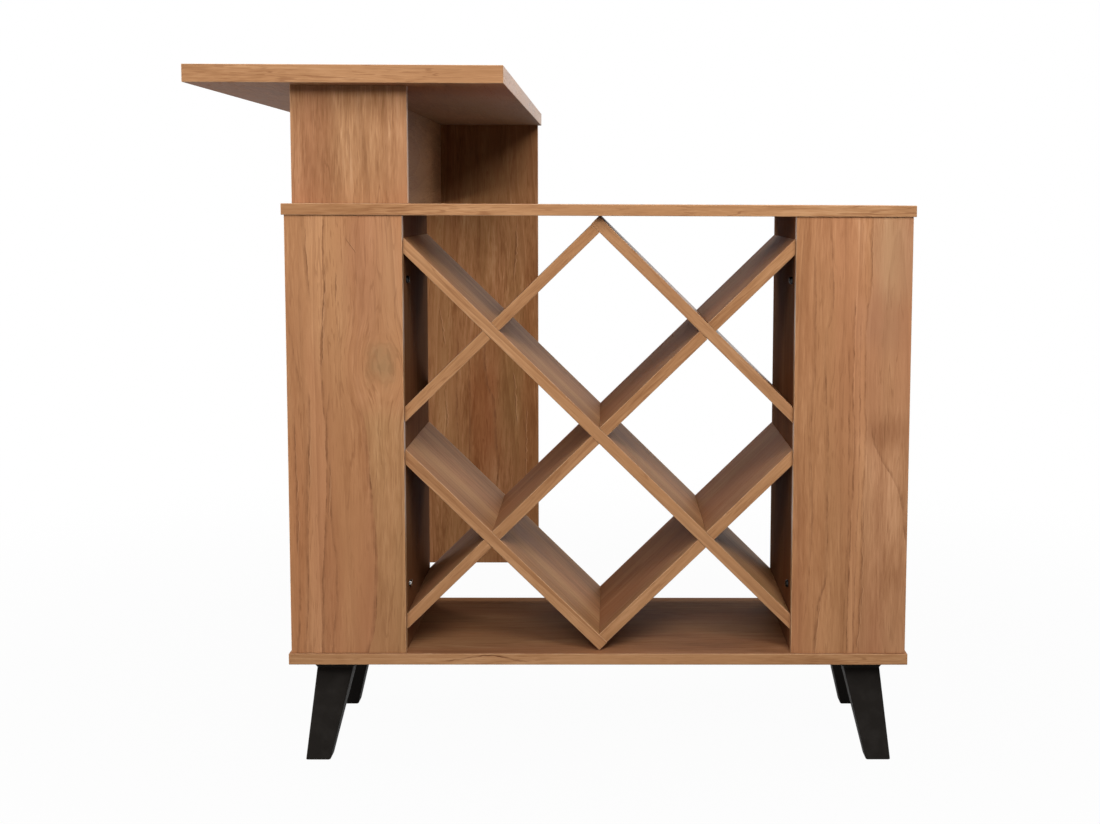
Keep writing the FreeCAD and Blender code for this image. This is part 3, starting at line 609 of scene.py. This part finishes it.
# The partition's face towards the rack is darkened: painted shade
left_partition = oak(
    "oak_left_partition", Y, Z, shine=0.02, patches=PARTITION_PATCHES,
    matt=0.75, seed=31.2, shade=0.54,
)
# The partition's face towards the rack is darkened: painted shade
right_partition = oak(
    "oak_right_partition", Y, Z, shine=0.02, patches=PARTITION_PATCHES,
    matt=0.75, seed=36.6, back_shade=0.48,
)
# The bar top's underside is darkened: painted shade
bar_top = oak(
    "oak_bar_top", X, Y, shine=0.16, matt=0.50, seed=41.8, pith=-0.3, back_shade=0.52, back_matt=0.12,
)
# The spine's face towards +X is darkened: painted shade
spine = oak("oak_spine", Z, Y, shine=0.08, seed=46.5, pith=1.0, back_shade=0.72)
# The rising decks' upper faces are darkened: painted shade
rising = oak("oak_rising", Y, RISING, shine=0.04, seed=52.3, pith=-0.5, contrast=0.8, back_shade=0.75)
# The falling decks' upper faces are lightened: painted light
falling = oak(
    "oak_falling", Y, FALLING, shine=0.10, patches=FALLING_SHEEN_TINT,
    matt=0.56, seed=57.7, pith=-0.5, contrast=0.75, back_shade=1.10,
)
# This board's upper face is lightened: painted light against the cabinet top's shadow on it
upper_right = oak(
    "oak_upper_right", Y, FALLING, shine=0.08, relief=0.00002,
    matt=0.29, seed=59.1, pith=-0.5, contrast=0.7, back_shade=1.15,
)

dress(left_front, "left_front_board")
dress(right_front, "right_front_board")
dress(column, "column_board")
dress(end_panel, "end_panel")
dress(cabinet_top, "cabinet_top")
dress(cabinet_bottom, "cabinet_bottom")
dress(shelves, "left_niche_shelf", "right_niche_shelf")
dress(outer_sides, "left_outer_side", "right_outer_side")
dress(left_partition, "left_partition")
dress(right_partition, "right_partition")
dress(bar_top, "bar_top")
dress(spine, "spine_board")
dress(rising, "rack_long_rising", "rack_upper_left", "rack_lower_right")
dress(falling, "rack_long_falling", "rack_lower_left")
dress(upper_right, "rack_upper_right")


# Black plastic, zinc-plated steel and beech

PLASTIC_DARK, PLASTIC_LIGHT = (0.0150, 0.0128, 0.0112, 1), (0.0222, 0.0194, 0.0172, 1)
PLASTIC_SHINE = 0.06
# The colour of the painted glints on one bolt head
PAINTED_GLINT = (0.92, 0.90, 0.86, 1)
BEECH_PALE, BEECH_BROWN = (0.62, 0.44, 0.27, 1), (0.48, 0.31, 0.17, 1)

# The one bolt head with painted glints in bright streaks, and how far about it they end
GLINT_HEAD, GLINTS_WITHIN, NO_GLINTS_BEYOND = (-0.236, -0.690, 0.286), 0.009, 0.011

# Noise scales of these finishes, per metre, the streaks being those of the painted glints
PLASTIC_GRAIN, HANDLED_AREAS, CLOUDS = (900, 900, 900), (35, 35, 35), (160, 160, 160)
GLINT_STREAKS, BEECH_FLECKS = (500, 300, 500), (500, 60, 60)


def black_plastic():
    """Finely grained moulded plastic, a little paler and duller where it is handled."""
    material, w, shader = new_material("black_plastic")
    point = w.add("TexCoord").outputs["Object"]
    grained = w.noise(point, PLASTIC_GRAIN, 3.0, 0.6)
    handled = w.noise(point, HANDLED_AREAS, 3.0)
    colour = w.mix(w.step(handled, 0.4, 0.75), PLASTIC_DARK, PLASTIC_LIGHT)
    bump = w.add("Bump", {"Height": grained, "Distance": 0.0003, "Strength": 0.35})
    rough = w.math("MULTIPLY_ADD", handled, 0.2, 0.60)
    finish = {"Base Color": colour, "Roughness": rough, "Normal": bump.outputs[0]}
    w.wire(shader, {**finish, "Specular IOR Level": PLASTIC_SHINE})
    return material


def steel(name, dull, bright, glint_at=None):
    """Plated steel, cloudy between two greys, with painted glints in bright streaks about one place."""
    material, w, shader = new_material(name)
    point = w.add("TexCoord").outputs["Object"]
    cloudy = w.noise(point, CLOUDS, 4.0, 0.6)
    colour = w.mix(w.step(cloudy, 0.3, 0.7), (dull, dull, dull, 1), (bright, bright, bright, 1))
    if glint_at:
        # Painted glints: bright streaks about one place, fading out between the two distances
        away = w.length(w.vector("SUBTRACT", point, glint_at))
        near = w.step(away, GLINTS_WITHIN, NO_GLINTS_BEYOND, 1.0, 0.0)
        glints = w.step(w.noise(point, GLINT_STREAKS, 1.0), 0.50, 0.58)
        colour = w.mix(w.math("MULTIPLY", near, glints), colour, PAINTED_GLINT)
    rough = w.math("MULTIPLY_ADD", cloudy, 0.25, 0.18)
    w.wire(shader, {"Base Color": colour, "Roughness": rough, "Metallic": 1.0})
    return material


def beech():
    """Bare beech with small flecks."""
    material, w, shader = new_material("beech_dowel")
    point = w.add("TexCoord").outputs["Object"]
    fleck = w.noise(point, BEECH_FLECKS, 3.0)
    colour = w.mix(w.step(fleck, 0.35, 0.7), BEECH_PALE, BEECH_BROWN)
    w.wire(shader, {"Base Color": colour, "Roughness": w.math("MULTIPLY_ADD", fleck, 0.2, 0.55)})
    return material


zinc = steel("zinc_steel", 0.46, 0.62)
# Near-black steel for the bracket bolts, with painted glints about one head
dark_steel = steel("dark_steel", 0.02, 0.035, glint_at=GLINT_HEAD)
moulded_black = black_plastic()
dress(zinc, "cam_bolts", "rack_screws", "leg_bolts")
dress(beech(), "front_dowels", "bar_dowels")


# Legs and fittings, made rounder than their CAD solids and in the same places

MM = 0.001
TOUCHING, WELD = 0.01 * MM, 0.001 * MM
SMOOTH_BELOW = math.radians(35)
ROUND_SEGMENTS = 32
MIDDLE_X = 75 * MM
BOARD = 18 * MM
SIDES, ENDS = (-1, 1), (-1, 1)


def made_of(made, kind, key="geom"):
    """The vertices, edges or faces among what an operator made."""
    return [item for item in made[key] if isinstance(item, kind)]


def facing(direction, at):
    """The place of a fitting that is modelled along +Z."""
    return Matrix.Translation(at) @ direction.to_track_quat("Z", "Y").to_matrix().to_4x4()


def fit(node, shape, places, material):
    """Sets copies of a shape out as one piece, in place of a CAD node."""
    pattern = bpy.data.meshes.new("pattern")
    shape.to_mesh(pattern)
    shape.free()
    whole = bmesh.new()
    for place in places:
        already = len(whole.verts)
        whole.from_mesh(pattern)
        bmesh.ops.transform(whole, matrix=place, verts=whole.verts[already:])
    bmesh.ops.recalc_face_normals(whole, faces=whole.faces)
    for face in whole.faces:
        face.smooth = True
    mesh = bpy.data.meshes.new(node + "_made")
    whole.to_mesh(mesh)
    whole.free()
    bpy.data.meshes.remove(pattern)
    mesh.set_sharp_from_angle(angle=SMOOTH_BELOW)
    mesh.materials.append(material)
    piece = bpy.data.objects.new(node + "_made", mesh)
    bpy.context.scene.collection.objects.link(piece)
    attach(piece, "root")
    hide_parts(node)


def turned(profile):
    """A shape turned about Z from (radius, height) points in millimetres, from the axis up to a flat cap."""
    shape = bmesh.new()
    points = [shape.verts.new((radius * MM, 0, height * MM)) for radius, height in profile]
    edges = [shape.edges.new(pair) for pair in zip(points, points[1:])]
    bmesh.ops.spin(
        shape, geom=points + edges, cent=(0, 0, 0), axis=(0, 0, 1), angle=2 * math.pi,
        steps=ROUND_SEGMENTS, use_merge=True,
    )
    bmesh.ops.remove_doubles(shape, verts=shape.verts, dist=TOUCHING)
    bmesh.ops.holes_fill(shape, edges=shape.edges, sides=ROUND_SEGMENTS)
    bmesh.ops.recalc_face_normals(shape, faces=shape.faces)
    return shape


RECESS_SLOPE = 0.15 * MM


def recess(shape, cuts, inside, deep):
    """Sinks the part of a turned shape's flat cap that lies inside, after cutting the cap along planes."""
    top = max(vert.co.z for vert in shape.verts)

    def cap():
        return [face for face in shape.faces if face.calc_center_median().z > top - TOUCHING]

    for normal, distance in cuts:
        faces = cap()
        edges = {edge for face in faces for edge in face.edges}
        verts = {vert for face in faces for vert in face.verts}
        bmesh.ops.bisect_plane(
            shape, geom=[*faces, *edges, *verts], dist=WELD, plane_co=normal * distance, plane_no=normal,
        )
    sunk = [face for face in cap() if inside(face.calc_center_median())]
    bmesh.ops.inset_region(shape, faces=sunk, thickness=RECESS_SLOPE, depth=-deep, use_even_offset=True)


def cross_recess(shape, half_wide, reach, deep):
    cuts = [(axis, sign * far) for axis in (X, Y) for sign in SIDES for far in (half_wide, reach)]

    def inside(point):
        short, long = sorted((abs(point.x), abs(point.y)))
        return short < half_wide and long < reach

    recess(shape, cuts, inside, deep)


def hexagon_recess(shape, half_wide, deep):
    normals = [Vector((math.cos(turn), math.sin(turn), 0)) for turn in (math.pi / 3 * k for k in range(6))]

    def inside(point):
        return all(normal.dot(point) < half_wide for normal in normals)

    recess(shape, [(normal, half_wide) for normal in normals], inside, deep)


# Shares of a shank's radius at its chamfered tip
TIP_RADIUS, TIP_HIGH = 0.8, 0.8

# Shares of a screw head's radius and height: its domed outline, and its cross slot
DOME = ((1.00, 0.0), (1.00, 0.32), (0.95, 0.60), (0.84, 0.82), (0.70, 0.95), (0.60, 1.0))
SLOT_HALF_WIDE, SLOT_REACH, SLOT_DEEP = 0.14, 0.52, 0.45

# Turned outlines in millimetres: (radius, height)
CONFIRMAT = ((0, -50), (2.0, -50), (3.2, -46), (3.2, -5), (4.85, -4.2), (4.85, -0.4), (4.5, 0))
CAM = ((0, -13), (7.0, -13), (7.3, -12.6), (7.3, -0.7), (6.9, -0.2), (6.2, -0.2), (5.9, -0.2), (5.7, -0.15))
SHELF_PIN = ((0, -9), (2.45, -9), (2.45, 7.2), (2.2, 7.7), (1.7, 8.0))
GLIDE = ((0, 0), (6.9, 0), (8.1, 0.5), (8.5, 1.6), (8.5, 20.8), (8.1, 22), (3.5, 22), (3.5, 41), (3.0, 42))


def pan_screw(head, head_high, shank, long):
    """A round-headed cross-slot screw, its seat at zero and its head above; all in millimetres."""
    rod = [(0, -long), (shank * TIP_RADIUS, -long), (shank, TIP_HIGH * shank - long), (shank, 0)]
    shape = turned(rod + [(head * out, head_high * up) for out, up in DOME])
    cross_recess(shape, SLOT_HALF_WIDE * head * MM, SLOT_REACH * head * MM, SLOT_DEEP * head_high * MM)
    return shape


def confirmat():
    """A furniture screw with a hexagon socket, its head flush at zero."""
    shape = turned(CONFIRMAT)
    hexagon_recess(shape, half_wide=2.0 * MM, deep=3 * MM)
    return shape


def cam_disc():
    """A cast cam with a cross slot, its rim and its slightly higher middle just under the board's face."""
    shape = turned(CAM)
    cross_recess(shape, half_wide=1.0 * MM, reach=4.4 * MM, deep=2.2 * MM)
    return shape


def hex_nut():
    outer, bore, high, chamfer = 4.6 * MM, 2.55 * MM, 4 * MM, 0.6 * MM
    shape = bmesh.new()
    bmesh.ops.create_circle(shape, segments=6, radius=outer)
    bmesh.ops.create_circle(shape, segments=24, radius=bore)
    flat = bmesh.ops.bridge_loops(shape, edges=shape.edges)["faces"]
    raised = made_of(bmesh.ops.extrude_face_region(shape, geom=flat), BMVert)
    bmesh.ops.translate(shape, vec=(0, 0, high), verts=raised)
    bmesh.ops.recalc_face_normals(shape, faces=shape.faces)
    corners = {vert for vert in raised if vert.co.xy.length > (outer + bore) / 2}
    rim = [edge for edge in shape.edges if corners.issuperset(edge.verts)]
    bmesh.ops.bevel(
        shape, geom=rim, offset=chamfer, offset_type="OFFSET", segments=2, profile=0.5,
        affect="EDGES", material=-1,
    )
    return shape


BRACKET_STEEL = 2 * MM


def corner_bracket():
    """A bent steel strip in the corner at zero, with one leg along +X and one along +Y."""
    leg, half_wide, bend, rounding = 50 * MM, 9 * MM, 3 * MM, 5 * MM
    shape = bmesh.new()
    end = shape.edges.new([shape.verts.new((0, leg, z)) for z in (-half_wide, half_wide)])
    down = bmesh.ops.extrude_edge_only(shape, edges=[end])
    bmesh.ops.translate(shape, vec=(0, bend - leg, 0), verts=made_of(down, BMVert))
    lower = [edge for edge in made_of(down, BMEdge)
             if all(abs(vert.co.y - bend) < TOUCHING for vert in edge.verts)]
    bent = bmesh.ops.spin(
        shape, geom=lower, cent=(bend, bend, 0), axis=(0, 0, 1), angle=math.pi / 2, steps=6, use_merge=False,
    )
    out = bmesh.ops.extrude_edge_only(shape, edges=made_of(bent, BMEdge, "geom_last"))
    bmesh.ops.translate(shape, vec=(leg - bend, 0, 0), verts=made_of(out, BMVert))
    bmesh.ops.remove_doubles(shape, verts=shape.verts, dist=WELD)
    corners = [vert for vert in shape.verts if max(vert.co.xy) > leg - TOUCHING]
    bmesh.ops.bevel(
        shape, geom=corners, offset=rounding, offset_type="OFFSET", segments=5, profile=0.5,
        affect="VERTICES", material=-1,
    )
    bmesh.ops.recalc_face_normals(shape, faces=shape.faces)
    bmesh.ops.solidify(shape, geom=shape.faces, thickness=BRACKET_STEEL)
    return shape


LEG_HIGH, LEG_FLANGE, LEG_CORNER, LEG_SPLAY = 165 * MM, 71 * MM, 4.5 * MM, 29 * MM

# Rings of a leg below its flat top: (width, height, share of the splay)
LEG_RINGS = (
    (LEG_FLANGE, 157 * MM, 0.0),
    (58.9 * MM, 150 * MM, 0.057),
    (40 * MM, 1 * MM, 0.994),
    (38 * MM, 0.0, 1.0),
)


def moulded_leg(side, end):
    """A tapered leg that splays to one side and end under a flange and its sloping collar."""
    shape = bmesh.new()
    wide, middle = LEG_FLANGE, Vector((0, 0, LEG_HIGH))
    square = bmesh.ops.create_grid(shape, x_segments=1, y_segments=1, size=wide / 2)["verts"]
    bmesh.ops.translate(shape, vec=middle, verts=square)
    bmesh.ops.bevel(
        shape, geom=square, offset=LEG_CORNER, offset_type="OFFSET", segments=5, profile=0.5,
        affect="VERTICES", material=-1,
    )
    level, spent = shape.faces[:], []
    for width, height, leaning in LEG_RINGS:
        made = bmesh.ops.extrude_face_region(shape, geom=level)
        ring = made_of(made, BMVert)
        ratio = width / wide
        bmesh.ops.scale(shape, vec=(ratio, ratio, 1), space=Matrix.Translation(-middle), verts=ring)
        lower = Vector((side * LEG_SPLAY * leaning, end * LEG_SPLAY * leaning, height))
        bmesh.ops.translate(shape, vec=lower - middle, verts=ring)
        bmesh.ops.delete(shape, geom=spent, context="FACES_ONLY")
        wide, middle = width, lower
        level = spent = made_of(made, BMFace)
    bmesh.ops.recalc_face_normals(shape, faces=shape.faces)
    return shape


LEG_OUT_X, LEG_OUT_Y, LEG_MIDDLE_Y = 430 * MM, 130 * MM, -550 * MM
for side, side_name in zip(SIDES, ("left", "right")):
    for end, end_name in zip(ENDS, ("front", "rear")):
        stand = Matrix.Translation((MIDDLE_X + side * LEG_OUT_X, LEG_MIDDLE_Y + end * LEG_OUT_Y, 0))
        leg = moulded_leg(side, end)
        fit(f"{end_name}_{side_name}_leg", leg, [stand], moulded_black)

# Where the uprights, the spine and the end panel stand, and the rows and levels of their fittings
PARTITION_OUT, OUTER_SIDE_OUT = 320 * MM, 487 * MM
UPRIGHTS = [(MIDDLE_X + side * out, side * inward)
            for side in SIDES for out, inward in ((PARTITION_OUT, 1), (OUTER_SIDE_OUT, -1))]
UPRIGHT_ROWS, PIN_ROWS = (-658 * MM, -440 * MM), (-678 * MM, -420 * MM)
BOTTOM_UNDERSIDE, TOP_UNDERSIDE, PIN_LEVEL, CAM_LEVEL = 165 * MM, 887 * MM, 523.5 * MM, 853 * MM
SPINE_X, SPINE_FACE_X, SPINE_ROWS = -325 * MM, -334 * MM, (-650 * MM, -450 * MM)
SPINE_CAM_MIDDLE, SPINE_CAM_REACH, SPINE_CAM_LEVEL = 23.5 * MM, 630.5 * MM, 1058 * MM
PANEL_BACK_Y, PANEL_Y, PANEL_LEVELS, GLIDE_OUT = 742 * MM, 733 * MM, (955 * MM, 1042 * MM), 202 * MM


def in_uprights(rows, level):
    """Places on the uprights' faces towards the side compartments."""
    return [facing(inward * X, (x + inward * BOARD / 2, y, level)) for x, inward in UPRIGHTS for y in rows]


under_uprights = [facing(-Z, (x, y, BOTTOM_UNDERSIDE)) for x, _ in UPRIGHTS for y in UPRIGHT_ROWS]
in_spine = [facing(-Z, (SPINE_X, y, TOP_UNDERSIDE)) for y in SPINE_ROWS]
in_spine += [facing(Y, (SPINE_X, PANEL_BACK_Y, z)) for z in PANEL_LEVELS]
along_spine = [SPINE_CAM_MIDDLE + step * SPINE_CAM_REACH for step in (-1, -1 / 3, 1 / 3, 1)]
cam_places = in_uprights(UPRIGHT_ROWS, CAM_LEVEL)
cam_places += [facing(-X, (SPINE_FACE_X, y, SPINE_CAM_LEVEL)) for y in along_spine]
fit("bottom_confirmats", confirmat(), under_uprights, zinc)
fit("spine_confirmats", confirmat(), in_spine, zinc)
fit("shelf_pins", turned(SHELF_PIN), in_uprights(PIN_ROWS, PIN_LEVEL), zinc)
fit("cam_discs", cam_disc(), cam_places, zinc)

BRACKET_LEVELS = (286 * MM, 784 * MM)
CORNER_OUT, CORNER_Y, BOLT_SETBACK = 329 * MM, -728 * MM, 38 * MM
brackets, bolts, nuts, screws = [], [], [], []
for side in SIDES:
    for z in BRACKET_LEVELS:
        corner = Vector((MIDDLE_X + side * CORNER_OUT, CORNER_Y, z))
        brackets.append(Matrix.Translation(corner) @ Matrix.Diagonal((side, 1, 1, 1)))
        bolts.append(facing(-side * X, corner + Vector((-side * BOARD, BOLT_SETBACK, 0))))
        nuts.append(facing(side * X, corner + Vector((side * BRACKET_STEEL, BOLT_SETBACK, 0))))
        screws.append(facing(Y, corner + Vector((side * BOLT_SETBACK, BRACKET_STEEL, 0))))
bolt = pan_screw(head=6.2, head_high=5, shank=2.5, long=25)
screw = pan_screw(head=4, head_high=2.4, shank=2, long=14)
fit("corner_brackets", corner_bracket(), brackets, zinc)
fit("bracket_bolts", bolt, bolts, dark_steel)
fit("bracket_nuts", hex_nut(), nuts, zinc)
fit("bracket_screws", screw, screws, zinc)

glides = [Matrix.Translation((SPINE_X + end * GLIDE_OUT, PANEL_Y, 0)) for end in ENDS]
fit("end_panel_glides", turned(GLIDE), glides, moulded_black)


# Studio: floor, white surroundings, lamps and camera

FLOOR_HALF = 9.0
FLOOR_GREY, WHITE = (0.16, 0.155, 0.15, 1), (1, 1, 1, 1)
FLOOR_WHITENESS, WHITENING_FROM, WHITE_FROM = 0.97, 0.5, 2.4
DIM_SKY, DIM_STRENGTH = (1, 0.98, 0.96, 1), 0.02


def background_rays(w):
    """One for the rays that see the background itself: camera, glossy and transmission rays."""
    path = w.add("LightPath").outputs
    seen = w.math("MAXIMUM", path["Is Camera Ray"], path["Is Glossy Ray"])
    return w.math("MAXIMUM", seen, path["Is Transmission Ray"])


def studio_floor():
    """A grey floor that the camera sees as white, with a faint shadow near the table."""
    mesh = bpy.data.meshes.new("studio_floor")
    shape = bmesh.new()
    bmesh.ops.create_grid(shape, x_segments=1, y_segments=1, size=FLOOR_HALF)
    shape.to_mesh(mesh)
    shape.free()
    floor = bpy.data.objects.new("studio_floor", mesh)
    bpy.context.scene.collection.objects.link(floor)
    material = bpy.data.materials.new("studio_floor")
    material.use_nodes = True
    w = Wiring(material.node_tree)
    w.tree.nodes.clear()
    lit = w.add("BsdfDiffuse", {"Color": FLOOR_GREY})
    white = w.add("Emission", {"Color": WHITE, "Strength": 1.0})
    out_from_middle = w.length(w.add("TexCoord").outputs["Object"])
    whiteness = w.step(out_from_middle, WHITENING_FROM, WHITE_FROM, FLOOR_WHITENESS, 1.0)
    share = w.math("MULTIPLY", background_rays(w), whiteness)
    mixed = w.add("MixShader", {0: share, 1: lit.outputs[0], 2: white.outputs[0]})
    w.add("OutputMaterial", {"Surface": mixed.outputs[0]})
    mesh.materials.append(material)


def white_surroundings():
    """A world that is seen as white, in reflections too, and that hardly lights matt faces."""
    world = bpy.data.worlds.new("studio")
    bpy.context.scene.world = world
    world.use_nodes = True
    w = Wiring(world.node_tree)
    w.tree.nodes.clear()
    dim = w.add("Background", {"Color": DIM_SKY, "Strength": DIM_STRENGTH})
    white = w.add("Background", {"Color": WHITE, "Strength": 1.0})
    mixed = w.add("MixShader", {0: background_rays(w), 1: dim.outputs[0], 2: white.outputs[0]})
    w.add("OutputWorld", {"Surface": mixed.outputs[0]})


def softbox(name, at, aim, wide, high, power):
    """A rectangular area lamp, aimed at a point."""
    data = bpy.data.lights.new(name, "AREA")
    data.shape = "RECTANGLE"
    data.size, data.size_y = wide, high
    data.energy = power
    lamp = bpy.data.objects.new(name, data)
    lamp.location = at
    lamp.rotation_euler = (Vector(aim) - Vector(at)).to_track_quat("-Z", "Y").to_euler()
    lamp.visible_glossy = False
    bpy.context.scene.collection.objects.link(lamp)


FRAME_WIDE, FRAME_HIGH = 1100, 824
FOCAL_PIXELS = 1728.4
OPTICAL_CENTRE = (631.6, 391.9)
CAMERA_AT = Vector((0.0918, -3.4803, 0.9088))
CAMERA_YAW, CAMERA_PITCH, CAMERA_ROLL = 0.01269, 0.10935, -0.0037
SENSOR = 36.0


def photograph_camera():
    """The camera at the photograph's viewing angle, fitted to its frame in pixels."""
    data = bpy.data.cameras.new("camera")
    data.sensor_fit = "HORIZONTAL"
    data.sensor_width = SENSOR
    data.lens = SENSOR * FOCAL_PIXELS / FRAME_WIDE
    data.shift_x = (FRAME_WIDE / 2 - OPTICAL_CENTRE[0]) / FRAME_WIDE
    data.shift_y = (OPTICAL_CENTRE[1] - FRAME_HIGH / 2) / FRAME_WIDE
    camera = bpy.data.objects.new("camera", data)
    level = math.cos(CAMERA_PITCH)
    ahead = Vector((math.sin(CAMERA_YAW) * level, math.cos(CAMERA_YAW) * level, -math.sin(CAMERA_PITCH)))
    right = Vector((math.cos(CAMERA_YAW), -math.sin(CAMERA_YAW), 0))
    right.rotate(Matrix.Rotation(CAMERA_ROLL, 3, ahead))
    axes = Matrix((right, right.cross(ahead), -ahead)).transposed()
    camera.matrix_world = Matrix.Translation(CAMERA_AT) @ axes.to_4x4()
    bpy.context.scene.collection.objects.link(camera)
    bpy.context.scene.camera = camera


studio_floor()
white_surroundings()

# Each softbox: place and aim, width and height in metres, and power in watts
softbox("key_softbox", (0.6, -2.85, 2.65), (0.0, -0.7, 0.6), 0.8, 1.4, 53)
softbox("fill_softbox", (-0.2, -3.25, 1.75), (0.0, -0.7, 0.6), 1.8, 0.6, 48)
softbox("left_softbox", (-2.6, -0.4, 3.0), (-0.4, 0.0, 0.6), 1.2, 1.2, 80)
softbox("low_left_softbox", (-2.8, -0.5, 0.4), (-0.45, -0.2, 1.05), 1.2, 0.6, 40)
softbox("right_softbox", (2.3, -0.5, 3.2), (0.4, -0.4, 0.6), 1.2, 1.2, 64)
softbox("rear_right_softbox", (2.2, 3.0, 1.6), (0.2, -0.5, 0.7), 1.0, 0.8, 34)
softbox("rear_softbox", (-1.7, 4.0, 2.6), (0.0, 0.5, 0.6), 1.6, 1.2, 110)

photograph_camera()
bpy.context.scene.view_settings.view_transform = "Standard"
